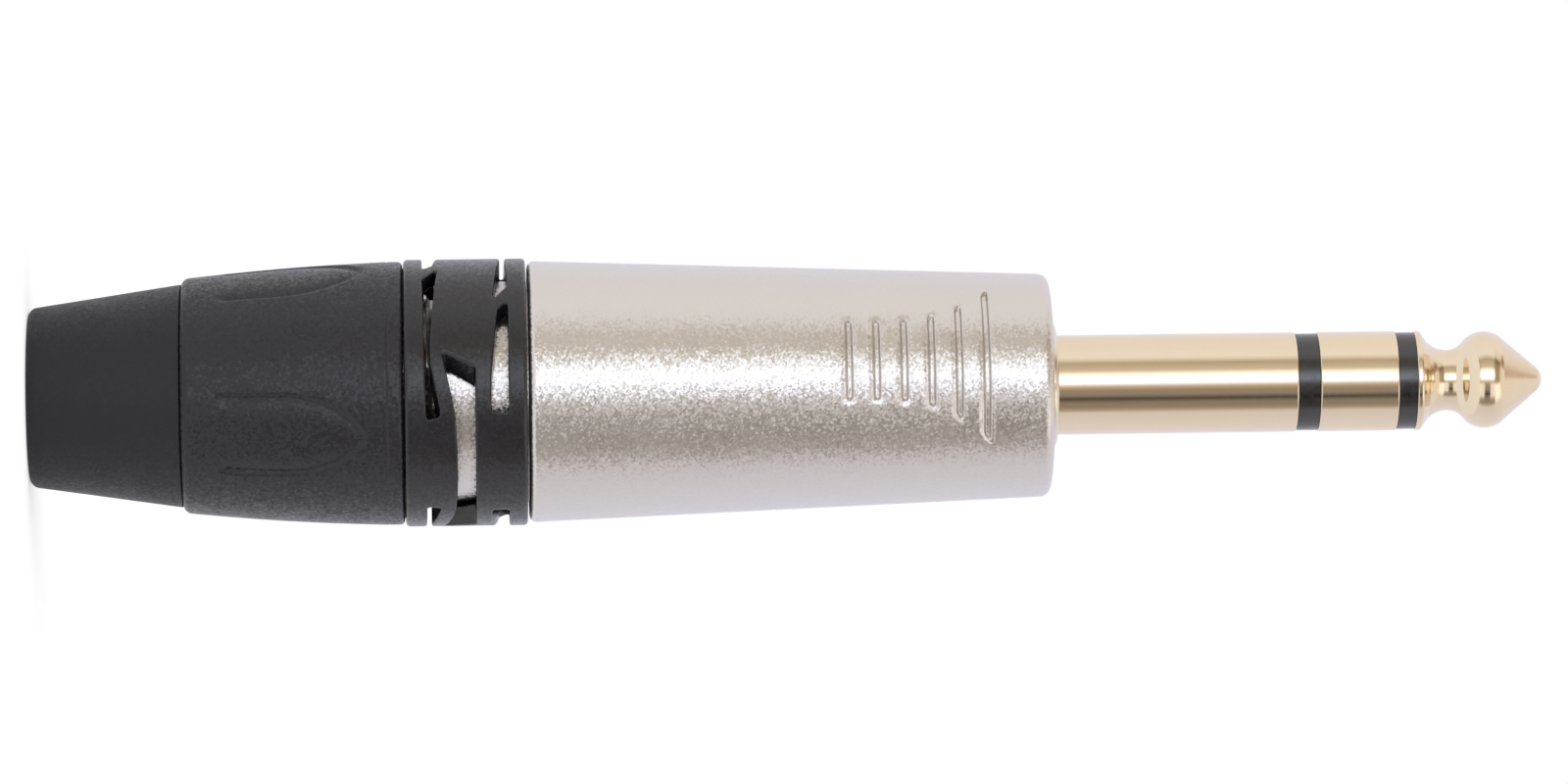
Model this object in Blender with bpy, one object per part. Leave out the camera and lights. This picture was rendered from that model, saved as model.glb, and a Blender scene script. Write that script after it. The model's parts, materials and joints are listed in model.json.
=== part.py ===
"""Stereo jack plug with three contacts, standing on the flat end of its cable boot.

Z runs along the plug, from the boot at 0 up to the nose of the contact pin. The side at -Y
carries the middle of one grip hollow row and of the grip marks. All lengths are in metres.
"""

import math

import bmesh
import bpy
from mathutils import Vector

MM = 0.001

# Fits between neighbouring pieces
FIT = 0.3 * MM
PIN_FIT = 0.2 * MM
WELD = 0.0001 * MM
REACH = 2.0 * MM

# Lengths along the plug, from the boot to the nose
BOOT_SLEEVE_LENGTH = 9.66 * MM
NUT_LENGTH = 13.75 * MM
COLLAR_LENGTH = 7.65 * MM
SHELL_LENGTH = 33.0 * MM
BOSS_PROUD = 0.45 * MM
PIN_LENGTH = 31.2 * MM

# Contact pin
PIN_DIAMETER = 6.35 * MM
TIP_LENGTH = 8.2 * MM
TIP_INSULATOR_WIDTH = 0.8 * MM
RING_WIDTH = 4.9 * MM
RING_INSULATOR_WIDTH = 1.0 * MM
INSULATOR_STEP = 0.08 * MM
ROD_DIAMETER = 1.3 * MM
TUBE_WALL = 0.3 * MM
LINER_WALL = 0.25 * MM
PIN_EDGE = 0.15 * MM

# Tip of the pin
TIP_FLANGE_WIDTH = 0.55 * MM
TIP_NECK_DIAMETER = 3.88 * MM
TIP_NECK_FROM_BASE = 2.4 * MM
TIP_BULGE_DIAMETER = 6.12 * MM
TIP_BULGE_FROM_NOSE = 3.65 * MM
TIP_CONE_FROM_NOSE = 2.7 * MM
TIP_CONE_DIAMETER = 5.5 * MM
TIP_NOSE_RADIUS = 0.8 * MM

# Parts stacked behind the pin
BOSS_DIAMETER = 8.0 * MM
BUSH_FLANGE_WIDTH = 1.3 * MM
SLEEVE_FLANGE_WIDTH = 1.2 * MM
WASHER_WIDTH = 1.0 * MM
TAG_THICKNESS = 0.4 * MM
TAG_WIDTH = 2.4 * MM
TAG_LENGTH = 13.0 * MM
TAG_EYE_RIM = 1.1 * MM
TAG_HOLE_DIAMETER = 1.2 * MM
TAG_HOLE_FROM_END = 1.5 * MM
TAG_BEND = 0.3 * MM
TAG_ARM_IN_EYE = 0.2 * MM
ROD_NUT_WIDTH = 1.1 * MM
ROD_NUT_ACROSS_CORNERS = 3.0 * MM

# Shell
SHELL_REAR_DIAMETER = 16.66 * MM
SHELL_FRONT_DIAMETER = 14.2 * MM
SHELL_REAR_EDGE = 0.45 * MM
SHELL_FRONT_EDGE = 0.65 * MM
SHELL_FRONT_WALL = 1.55 * MM
CHAMBER_DIAMETER = 11.2 * MM
CHAMBER_FROM_REAR = 0.6 * MM
NECK_STEP = 1.28 * MM
NECK_ABOVE_NUT = 1.8 * MM
NECK_WALL = 0.8 * MM
LINER_TUBE_WALL = 0.35 * MM

# Thread between the neck and the boot nut, modelled at its core
THREAD_STEP = 1.15 * MM
THREAD_DEPTH = 0.6 * MM

# Grip marks on the shell
GRIP_COUNT = 6
GRIP_PITCH = 1.77 * MM
GRIP_FROM_FRONT = 3.83 * MM
GRIP_WIDTH = 0.75 * MM
GRIP_FLOOR_WIDTH = 0.35 * MM
GRIP_DEPTH = 0.25 * MM
GRIP_CENTRE_ANGLE = 14.0
GRIP_HALF_ANGLE = 20.7
GRIP_FLARE_ANGLE = 21.1
GRIP_FLARE_POWER = 3.5

# Collar ring, a little wider than the shell
COLLAR_PROUD = 0.17 * MM
COLLAR_EDGE = 0.25 * MM
COLLAR_MOULD_ANGLE = 55.0

# Boot nut, which starts at the shell's width and tapers to its rear
NUT_PROUD = 0.04 * MM
NUT_TAPER = 0.82 * MM
NUT_SWELL = 0.13 * MM
NUT_BAND = 0.9 * MM
NUT_REAR_EDGE = 0.45 * MM
NUT_FRONT_EDGE = 0.3 * MM
NUT_SOCKET_DEPTH = 3.2 * MM
NUT_WEB = 0.7 * MM
HOLLOW_COUNT = 4
HOLLOW_CENTRE_ANGLE = -19.5
HOLLOW_HALF_ANGLE = 20.0
HOLLOW_DEPTH = 0.3 * MM
HOLLOW_START = 1.6 * MM
HOLLOW_WIDEST = 6.2 * MM
HOLLOW_FROM_FRONT = 2.25 * MM
HOLLOW_TAPER = 0.65

# Boot sleeve, which carries on the nut's taper
BOOT_INSET = 0.42 * MM
BOOT_TAPER = 1.43 * MM
BOOT_REAR_EDGE = 0.65 * MM
BOOT_SPIGOT_WALL = 1.9 * MM

# Cable chuck
CHUCK_LENGTH = 13.2 * MM
CHUCK_WALL = 1.3 * MM
CHUCK_CONE_LENGTH = 2.15 * MM
CHUCK_HEAD_WIDTH = 1.1 * MM
CHUCK_HEAD_RIM = 0.8 * MM
CHUCK_SLOT_COUNT = 4
CHUCK_SLOT_WIDTH = 1.0 * MM
CHUCK_SLOT_LENGTH = 9.0 * MM
KEY_COUNT = 2
KEY_WIDTH = 1.0 * MM
KEY_LENGTH = 4.0 * MM
KEY_HEIGHT = 0.8 * MM

# Facets
WIDE_SIDES = 40
MIDDLE_SIDES = 32
THIN_SIDES = 20
ROD_NUT_SIDES = 6
FILLET_STEPS = 2
GRIP_STEPS = 6
HOLLOW_STEPS = 6
TIP_STEPS = 4
HOLLOW_SHARES = (-1, -0.5, 0, 0.5, 1)
BETWEEN_SHARES = (0.25, 0.5, 0.75)
LEAST_SPREAD_SHARE = 0.2
SHARP_FROM_ANGLE = 30

# Places along the axis, going up from the boot
BOOT_SLEEVE_TOP = BOOT_SLEEVE_LENGTH
NUT_BOTTOM = BOOT_SLEEVE_TOP + FIT
NUT_TOP = NUT_BOTTOM + NUT_LENGTH
COLLAR_BOTTOM = NUT_TOP + FIT
COLLAR_TOP = COLLAR_BOTTOM + COLLAR_LENGTH
SHELL_REAR = COLLAR_TOP + FIT
SHELL_FRONT = SHELL_REAR + SHELL_LENGTH
BOSS_FACE = SHELL_FRONT + BOSS_PROUD
NOSE = BOSS_FACE + PIN_LENGTH

# Places along the pin, going down from the nose
TIP_BASE = NOSE - TIP_LENGTH
TIP_INSULATOR_TOP = TIP_BASE - PIN_FIT
TIP_INSULATOR_BOTTOM = TIP_INSULATOR_TOP - TIP_INSULATOR_WIDTH
RING_TOP = TIP_INSULATOR_BOTTOM - PIN_FIT
RING_BOTTOM = RING_TOP - RING_WIDTH
RING_INSULATOR_TOP = RING_BOTTOM - PIN_FIT
RING_INSULATOR_BOTTOM = RING_INSULATOR_TOP - RING_INSULATOR_WIDTH
SLEEVE_TOP = RING_INSULATOR_BOTTOM - PIN_FIT

# Places of the stack inside the shell, going down from its front wall
FRONT_WALL_INSIDE = SHELL_FRONT - SHELL_FRONT_WALL
BUSH_FLANGE_TOP = FRONT_WALL_INSIDE - FIT
BUSH_BOTTOM = BUSH_FLANGE_TOP - BUSH_FLANGE_WIDTH
SLEEVE_FLANGE_TOP = BUSH_BOTTOM - FIT
SLEEVE_FLANGE_BOTTOM = SLEEVE_FLANGE_TOP - SLEEVE_FLANGE_WIDTH
SLEEVE_TAG_TOP = SLEEVE_FLANGE_BOTTOM - FIT
SLEEVE_BOTTOM = SLEEVE_TAG_TOP - TAG_THICKNESS - FIT
SLEEVE_WASHER_TOP = SLEEVE_BOTTOM - FIT
RING_TAG_TOP = SLEEVE_WASHER_TOP - WASHER_WIDTH - FIT
RING_TUBE_BOTTOM = RING_TAG_TOP - TAG_THICKNESS - FIT
RING_WASHER_TOP = RING_TUBE_BOTTOM - FIT
TIP_TAG_TOP = RING_WASHER_TOP - WASHER_WIDTH - FIT
ROD_NUT_TOP = TIP_TAG_TOP - TAG_THICKNESS - FIT
ROD_BOTTOM = ROD_NUT_TOP - ROD_NUT_WIDTH - FIT

# Places inside the nut, of the chuck on its seat there, and of the neck on the chuck
NUT_SOCKET_TOP = NUT_BOTTOM + NUT_SOCKET_DEPTH
NUT_SEAT_BOTTOM = NUT_SOCKET_TOP + NUT_WEB
SPIGOT_TOP = NUT_SOCKET_TOP - FIT
CHUCK_BOTTOM = NUT_SEAT_BOTTOM + FIT
CHUCK_HEAD_BOTTOM = CHUCK_BOTTOM + CHUCK_CONE_LENGTH
CHUCK_HEAD_TOP = CHUCK_HEAD_BOTTOM + CHUCK_HEAD_WIDTH
CHUCK_TOP = CHUCK_BOTTOM + CHUCK_LENGTH
NECK_REAR = CHUCK_HEAD_TOP + FIT
NECK_SHOULDER = NUT_TOP + NECK_ABOVE_NUT
CHAMBER_BOTTOM = SHELL_REAR + CHAMBER_FROM_REAR
LINER_BOTTOM = max(CHUCK_TOP, CHAMBER_BOTTOM) + FIT

# Radii that follow from what lies inside or outside
PIN_RADIUS = PIN_DIAMETER / 2
INSULATOR_RADIUS = PIN_RADIUS - INSULATOR_STEP
ROD_RADIUS = ROD_DIAMETER / 2
TIP_LINER_BORE = ROD_RADIUS + PIN_FIT
TIP_LINER_RADIUS = TIP_LINER_BORE + LINER_WALL
RING_TUBE_BORE = TIP_LINER_RADIUS + PIN_FIT
RING_TUBE_RADIUS = RING_TUBE_BORE + TUBE_WALL
RING_LINER_BORE = RING_TUBE_RADIUS + PIN_FIT
RING_LINER_RADIUS = RING_LINER_BORE + LINER_WALL
SLEEVE_BORE = RING_LINER_RADIUS + PIN_FIT
CHAMBER_RADIUS = CHAMBER_DIAMETER / 2
STACK_RADIUS = CHAMBER_RADIUS - FIT
LINER_TUBE_BORE = STACK_RADIUS - LINER_TUBE_WALL
TAG_FACE = math.sqrt((LINER_TUBE_BORE - FIT) ** 2 - (TAG_WIDTH / 2) ** 2)
WASHER_RADIUS = TAG_FACE - TAG_THICKNESS - FIT
BOSS_RADIUS = BOSS_DIAMETER / 2
SHELL_REAR_RADIUS = SHELL_REAR_DIAMETER / 2
NECK_RADIUS = SHELL_REAR_RADIUS - NECK_STEP
THREAD_CORE = NECK_RADIUS - THREAD_STEP
NECK_BORE = THREAD_CORE - NECK_WALL
NUT_BORE = THREAD_CORE + THREAD_DEPTH
CHUCK_RADIUS = NECK_BORE - FIT
CABLE_BORE = CHUCK_RADIUS - CHUCK_WALL
CHUCK_HEAD_RADIUS = CHUCK_RADIUS + CHUCK_HEAD_RIM
CHUCK_END_RADIUS = CHUCK_RADIUS - FIT
SPIGOT_RADIUS = CABLE_BORE + BOOT_SPIGOT_WALL
NUT_SOCKET_RADIUS = SPIGOT_RADIUS + FIT
NUT_WEB_BORE = CABLE_BORE + CHUCK_HEAD_RIM
KEY_RADIUS = CHUCK_RADIUS + KEY_HEIGHT
COLLAR_BORE = NECK_RADIUS + FIT
COLLAR_RADIUS = SHELL_REAR_RADIUS + COLLAR_PROUD
NUT_FRONT_RADIUS = SHELL_REAR_RADIUS + NUT_PROUD
NUT_REAR_RADIUS = NUT_FRONT_RADIUS - NUT_TAPER
BOOT_FRONT_RADIUS = NUT_REAR_RADIUS - BOOT_INSET
BOOT_REAR_RADIUS = BOOT_FRONT_RADIUS - BOOT_TAPER
HOLLOW_END = NUT_LENGTH - HOLLOW_FROM_FRONT

# Window outlines of the collar from its middle: along the axis, then across the mould, in mm
PAST_RIM = (COLLAR_RADIUS + REACH) / MM
COLLAR_WINDOWS = (
    ((-2.65, 0.36), (-2.41, -7.75), (-1.6, -7.63), (-2.25, -5.72), (-2.25, -4.66),
     (-1.79, 1.1), (-1.71, 1.74)),
    ((-1.5, -5.08), (-1.1, -6.41), (-0.66, -7.62), (-0.53, -8.4), (-0.53, -PAST_RIM),
     (0.6, -PAST_RIM), (0.6, -5.87)),
    ((2.7, -1.77), (2.07, -2.48), (1.85, -4.43), (1.6, -7.55), (2.7, -7.57)),
)


def clear_scene():
    """Empty the scene of whatever it opened with."""
    for obj in list(bpy.data.objects):
        bpy.data.objects.remove(obj, do_unlink=True)


def finish(name, colour, roughness, metallic):
    """A plain material of one colour."""
    material = bpy.data.materials.new(name)
    material.use_nodes = True
    shader = material.node_tree.nodes["Principled BSDF"]
    shader.inputs["Base Color"].default_value = (*colour, 1.0)
    shader.inputs["Roughness"].default_value = roughness
    shader.inputs["Metallic"].default_value = metallic
    return material


def place(name, bm, material):
    """Turn a bmesh into an object with faces out and round sides smooth."""
    bmesh.ops.remove_doubles(bm, verts=bm.verts, dist=WELD)
    bmesh.ops.recalc_face_normals(bm, faces=bm.faces)
    mesh = bpy.data.meshes.new(name)
    bm.to_mesh(mesh)
    bm.free()
    mesh.shade_smooth()
    mesh.set_sharp_from_angle(angle=math.radians(SHARP_FROM_ANGLE))
    obj = bpy.data.objects.new(name, mesh)
    bpy.context.scene.collection.objects.link(obj)
    if material:
        mesh.materials.append(material)
    return obj


def helper(name, bm):
    """A body used only to cut or to join, left out of the picture."""
    obj = place(name, bm, None)
    obj.hide_render = True
    obj.display_type = "WIRE"
    return obj


def combine(obj, other, operation):
    """Cut the other body from this one, or join it to this one."""
    modifier = obj.modifiers.new(operation.title() + " " + other.name, "BOOLEAN")
    modifier.operation = operation
    modifier.solver = "EXACT"
    modifier.object = other


def direction(angle):
    """Unit vector square to the axis: 0 degrees is -Y, and it grows towards -X."""
    turn = math.radians(angle)
    return Vector((-math.sin(turn), -math.cos(turn), 0))


def rounded(outline):
    """An outline of (radius, height, fillet) corners with each fillet drawn as an arc."""
    points = []
    for i, (r, z, fillet) in enumerate(outline):
        corner = Vector((r, z))
        if fillet == 0:
            points.append((r, z))
            continue
        before = (Vector(outline[i - 1][:2]) - corner).normalized()
        after = (Vector(outline[(i + 1) % len(outline)][:2]) - corner).normalized()
        half = before.angle(after) / 2
        centre = corner + (before + after).normalized() * fillet / math.sin(half)
        first = corner + before * fillet / math.tan(half) - centre
        turn = first.angle_signed(corner + after * fillet / math.tan(half) - centre)
        for k in range(FILLET_STEPS + 1):
            swing = -turn * k / FILLET_STEPS
            x = first.x * math.cos(swing) - first.y * math.sin(swing)
            y = first.x * math.sin(swing) + first.y * math.cos(swing)
            points.append((centre.x + x, centre.y + y))
    return points


def sweep(bm, outline, angles, full_turn=True):
    """Carry a closed (radius, height) outline round the axis through the angles."""
    rings = []
    for angle in angles:
        side = direction(angle)
        rings.append([bm.verts.new(side * r + Vector((0, 0, z))) for r, z in outline])
    count = len(outline)
    if full_turn:
        pairs = zip(rings, rings[1:] + rings[:1])
    else:
        pairs = zip(rings, rings[1:])
        bm.faces.new(rings[0])
        bm.faces.new(rings[-1])
    for here, there in pairs:
        for i in range(count):
            j = (i + 1) % count
            if outline[i][0] == 0 and outline[j][0] == 0:
                continue
            bm.faces.new((here[i], here[j], there[j], there[i]))


def turned(name, outline, sides, material):
    """A body turned about the axis from (radius, height, fillet) corners."""
    bm = bmesh.new()
    sweep(bm, rounded(outline), [360 * k / sides for k in range(sides)])
    bmesh.ops.remove_doubles(bm, verts=bm.verts, dist=WELD)
    bmesh.ops.dissolve_degenerate(bm, edges=bm.edges, dist=WELD)
    return place(name, bm, material)


def tube(name, bore, radius, bottom, top, sides, material):
    """A plain tube or washer."""
    outline = ((bore, bottom, 0), (radius, bottom, 0), (radius, top, 0), (bore, top, 0))
    return turned(name, outline, sides, material)


def radial_box(bm, angle, near, far, width, bottom, top):
    """A box that points away from the axis."""
    out = direction(angle)
    side = direction(angle + 90) * (width / 2)
    corners = []
    for z in (bottom, top):
        up = Vector((0, 0, z))
        for reach, across in ((near, -1), (far, -1), (far, 1), (near, 1)):
            corners.append(bm.verts.new(out * reach + side * across + up))
    low, high = corners[:4], corners[4:]
    bm.faces.new(low)
    bm.faces.new(high)
    for i in range(4):
        j = (i + 1) % 4
        bm.faces.new((low[i], low[j], high[j], high[i]))


def prism(bm, outline, along, start, end):
    """A prism between two copies of an outline of points."""
    first = [bm.verts.new(point + along * start) for point in outline]
    last = [bm.verts.new(point + along * end) for point in outline]
    bm.faces.new(first)
    bm.faces.new(last)
    for i in range(len(outline)):
        j = (i + 1) % len(outline)
        bm.faces.new((first[i], first[j], last[j], last[i]))


def make_boot_sleeve(rubber):
    """The soft rear end of the boot, which the cable passes through."""
    outline = (
        (CABLE_BORE, 0, 0),
        (BOOT_REAR_RADIUS, 0, BOOT_REAR_EDGE),
        (BOOT_FRONT_RADIUS, BOOT_SLEEVE_TOP, 0),
        (SPIGOT_RADIUS, BOOT_SLEEVE_TOP, 0),
        (SPIGOT_RADIUS, SPIGOT_TOP, 0),
        (CABLE_BORE, SPIGOT_TOP, 0),
    )
    return turned("boot_sleeve", outline, WIDE_SIDES, rubber)


def nut_radius(z):
    """Outer radius of the boot nut at a height above its rear face."""
    share = min(1.0, z / (NUT_LENGTH - NUT_BAND))
    return NUT_REAR_RADIUS + NUT_TAPER * share + NUT_SWELL * math.sin(math.pi * share)


def hollow_half_angle(z):
    """Half the angle that a grip hollow takes at a height above the nut's rear face."""
    if z <= HOLLOW_WIDEST:
        return HOLLOW_HALF_ANGLE
    share = (z - HOLLOW_WIDEST) / (HOLLOW_END - HOLLOW_WIDEST)
    if share >= 1:
        return 0.0
    return HOLLOW_HALF_ANGLE * (1 - share**2) ** HOLLOW_TAPER


def make_boot_nut(plastic):
    """The nut that screws on the neck, with four petal hollows for the fingers."""
    inner = rounded((
        (NUT_BORE, NUT_TOP, 0),
        (NUT_BORE, CHUCK_HEAD_BOTTOM, 0),
        (CHUCK_HEAD_RADIUS + FIT, CHUCK_HEAD_BOTTOM, 0),
        (CHUCK_END_RADIUS + FIT, CHUCK_BOTTOM, 0),
        (CHUCK_END_RADIUS + FIT, NUT_SEAT_BOTTOM, 0),
        (NUT_WEB_BORE, NUT_SEAT_BOTTOM, 0),
        (NUT_WEB_BORE, NUT_SOCKET_TOP, 0),
        (NUT_SOCKET_RADIUS, NUT_SOCKET_TOP, 0),
        (NUT_SOCKET_RADIUS, NUT_BOTTOM, 0),
    ))
    rise = NUT_LENGTH - NUT_FRONT_EDGE
    heights = [NUT_REAR_EDGE, HOLLOW_START, HOLLOW_WIDEST]
    for k in range(1, HOLLOW_STEPS + 1):
        swing = math.pi / 2 * k / HOLLOW_STEPS
        heights.append(HOLLOW_WIDEST + (HOLLOW_END - HOLLOW_WIDEST) * math.sin(swing))
    rows = [(0, nut_radius(0) - NUT_REAR_EDGE / 2)]
    rows += [(z, nut_radius(z)) for z in heights + [rise]]
    rows.append((NUT_LENGTH, nut_radius(NUT_LENGTH) - NUT_FRONT_EDGE))
    bm = bmesh.new()
    rings = []
    for z, r in rows:
        half = hollow_half_angle(z)
        deep = HOLLOW_START < z < HOLLOW_END
        columns = []
        for n in range(HOLLOW_COUNT):
            middle = HOLLOW_CENTRE_ANGLE + 360 / HOLLOW_COUNT * n
            spread = max(half, HOLLOW_HALF_ANGLE * LEAST_SPREAD_SHARE)
            rest = 360 / HOLLOW_COUNT - 2 * spread
            for share in HOLLOW_SHARES:
                dip = HOLLOW_DEPTH * (1 - share**2) * half / HOLLOW_HALF_ANGLE if deep else 0
                columns.append((middle + spread * share, r - dip))
            columns += [(middle + spread + rest * share, r) for share in BETWEEN_SHARES]
        up = Vector((0, 0, NUT_BOTTOM + z))
        rings.append([bm.verts.new(direction(a) * q + up) for a, q in columns])
    angles = [a for a, _ in columns]
    for r, z in inner:
        up = Vector((0, 0, z))
        rings.append([bm.verts.new(direction(a) * r + up) for a in angles])
    for here, there in zip(rings, rings[1:] + rings[:1]):
        for i in range(len(here)):
            j = (i + 1) % len(here)
            bm.faces.new((here[i], here[j], there[j], there[i]))
    return place("boot_nut", bm, plastic)


def make_cable_chuck(plastic):
    """The collet that the nut squeezes onto the cable, keyed to turn with the shell."""
    outline = (
        (CABLE_BORE, CHUCK_BOTTOM, 0),
        (CHUCK_END_RADIUS, CHUCK_BOTTOM, 0),
        (CHUCK_HEAD_RADIUS, CHUCK_HEAD_BOTTOM, 0),
        (CHUCK_HEAD_RADIUS, CHUCK_HEAD_TOP, 0),
        (CHUCK_RADIUS, CHUCK_HEAD_TOP, 0),
        (CHUCK_RADIUS, CHUCK_TOP, 0),
        (CABLE_BORE, CHUCK_TOP, 0),
    )
    chuck = turned("cable_chuck", outline, MIDDLE_SIDES, plastic)
    bm = bmesh.new()
    for k in range(KEY_COUNT):
        turn = 360 / KEY_COUNT * k
        root = (CABLE_BORE + CHUCK_RADIUS) / 2
        low = (CHUCK_HEAD_BOTTOM + CHUCK_HEAD_TOP) / 2
        radial_box(bm, turn, root, KEY_RADIUS, KEY_WIDTH, low, CHUCK_HEAD_TOP + KEY_LENGTH)
    combine(chuck, helper("chuck_keys", bm), "UNION")
    bm = bmesh.new()
    for k in range(CHUCK_SLOT_COUNT):
        turn = 360 / CHUCK_SLOT_COUNT * (k + 0.5)
        slot_top = CHUCK_BOTTOM + CHUCK_SLOT_LENGTH
        far = CHUCK_HEAD_RADIUS + REACH
        radial_box(bm, turn, CABLE_BORE - FIT, far, CHUCK_SLOT_WIDTH, CHUCK_BOTTOM - REACH, slot_top)
    combine(chuck, helper("chuck_slots", bm), "DIFFERENCE")
    return chuck


def shell_radius(z):
    """Outer radius of the shell's taper at a height."""
    share = (z - SHELL_REAR) / SHELL_LENGTH
    return (SHELL_REAR_DIAMETER + (SHELL_FRONT_DIAMETER - SHELL_REAR_DIAMETER) * share) / 2


def grip_cutter():
    """Short grooves round the front of the shell, on two sides, longer towards the front."""
    bm = bmesh.new()
    last = GRIP_COUNT - 1
    for k in range(GRIP_COUNT):
        z = SHELL_FRONT - GRIP_FROM_FRONT - GRIP_PITCH * (last - k)
        r = shell_radius(z)
        above = GRIP_DEPTH
        flank = (GRIP_WIDTH - GRIP_FLOOR_WIDTH) / 2 * (GRIP_DEPTH + above) / GRIP_DEPTH
        outline = (
            (r - GRIP_DEPTH, z - GRIP_FLOOR_WIDTH / 2),
            (r + above, z - GRIP_FLOOR_WIDTH / 2 - flank),
            (r + above, z + GRIP_FLOOR_WIDTH / 2 + flank),
            (r - GRIP_DEPTH, z + GRIP_FLOOR_WIDTH / 2),
        )
        half = GRIP_HALF_ANGLE + GRIP_FLARE_ANGLE * (k / last) ** GRIP_FLARE_POWER
        for middle in (GRIP_CENTRE_ANGLE, GRIP_CENTRE_ANGLE + 180):
            angles = [middle - half + 2 * half * i / GRIP_STEPS for i in range(GRIP_STEPS + 1)]
            sweep(bm, outline, angles, full_turn=False)
    return helper("grip_cutter", bm)


def make_shell_housing(nickel):
    """The metal shell, with the neck that carries the collar ring and the nut's thread."""
    outline = (
        (NECK_BORE, NECK_REAR, 0),
        (THREAD_CORE, NECK_REAR, 0),
        (THREAD_CORE, NECK_SHOULDER, 0),
        (NECK_RADIUS, NECK_SHOULDER, 0),
        (NECK_RADIUS, SHELL_REAR, 0),
        (SHELL_REAR_RADIUS, SHELL_REAR, SHELL_REAR_EDGE),
        (SHELL_FRONT_DIAMETER / 2, SHELL_FRONT, SHELL_FRONT_EDGE),
        (BOSS_RADIUS + FIT, SHELL_FRONT, 0),
        (BOSS_RADIUS + FIT, FRONT_WALL_INSIDE, 0),
        (CHAMBER_RADIUS, FRONT_WALL_INSIDE, 0),
        (CHAMBER_RADIUS, CHAMBER_BOTTOM, 0),
        (NECK_BORE, CHAMBER_BOTTOM, 0),
    )
    shell = turned("shell_housing", outline, WIDE_SIDES, nickel)
    bm = bmesh.new()
    for k in range(KEY_COUNT):
        turn = 360 / KEY_COUNT * k
        top = CHUCK_HEAD_TOP + KEY_LENGTH + FIT
        far = THREAD_CORE + REACH
        radial_box(bm, turn, NECK_BORE - FIT, far, KEY_WIDTH + 2 * FIT, NECK_REAR - REACH, top)
    combine(shell, helper("key_slots", bm), "DIFFERENCE")
    combine(shell, grip_cutter(), "DIFFERENCE")
    return shell


def make_collar_ring(plastic):
    """The openwork ring between the shell and the nut, whose windows pull straight out."""
    outline = (
        (COLLAR_BORE, COLLAR_BOTTOM, 0),
        (COLLAR_RADIUS, COLLAR_BOTTOM, COLLAR_EDGE),
        (COLLAR_RADIUS, COLLAR_TOP, COLLAR_EDGE),
        (COLLAR_BORE, COLLAR_TOP, 0),
    )
    collar = turned("collar_ring", outline, WIDE_SIDES, plastic)
    pull = direction(COLLAR_MOULD_ANGLE)
    across = direction(COLLAR_MOULD_ANGLE + 90)
    middle = Vector((0, 0, (COLLAR_BOTTOM + COLLAR_TOP) / 2))
    far = COLLAR_RADIUS + REACH
    bm = bmesh.new()
    for window in COLLAR_WINDOWS:
        for side in (1, -1):
            points = [middle + (across * u + Vector((0, 0, z))) * side * MM for z, u in window]
            prism(bm, points, pull, -far, far)
    combine(collar, helper("window_cutter", bm), "DIFFERENCE")
    return collar


def make_nose_bush(nickel):
    """The bright bush that centres the pin and stands just proud of the shell."""
    bore = PIN_RADIUS + FIT
    outline = (
        (bore, BUSH_BOTTOM, 0),
        (STACK_RADIUS, BUSH_BOTTOM, 0),
        (STACK_RADIUS, BUSH_FLANGE_TOP, 0),
        (BOSS_RADIUS, BUSH_FLANGE_TOP, 0),
        (BOSS_RADIUS, BOSS_FACE, PIN_EDGE),
        (bore, BOSS_FACE, 0),
    )
    return turned("nose_bush", outline, MIDDLE_SIDES, nickel)


def make_sleeve_contact(gold):
    """The longest contact, with the flange that holds the pin in the shell."""
    outline = (
        (SLEEVE_BORE, SLEEVE_BOTTOM, 0),
        (PIN_RADIUS, SLEEVE_BOTTOM, 0),
        (PIN_RADIUS, SLEEVE_FLANGE_BOTTOM, 0),
        (STACK_RADIUS, SLEEVE_FLANGE_BOTTOM, 0),
        (STACK_RADIUS, SLEEVE_FLANGE_TOP, 0),
        (PIN_RADIUS, SLEEVE_FLANGE_TOP, 0),
        (PIN_RADIUS, SLEEVE_TOP, 0),
        (SLEEVE_BORE, SLEEVE_TOP, 0),
    )
    return turned("sleeve_contact", outline, MIDDLE_SIDES, gold)


def make_ring_contact(gold):
    """The ring, one with the tube that runs back inside the sleeve."""
    outline = (
        (RING_TUBE_BORE, RING_TUBE_BOTTOM, 0),
        (RING_TUBE_RADIUS, RING_TUBE_BOTTOM, 0),
        (RING_TUBE_RADIUS, RING_BOTTOM, 0),
        (PIN_RADIUS, RING_BOTTOM, 0),
        (PIN_RADIUS, RING_TOP, PIN_EDGE),
        (RING_TUBE_BORE, RING_TOP, 0),
    )
    return turned("ring_contact", outline, MIDDLE_SIDES, gold)


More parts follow.
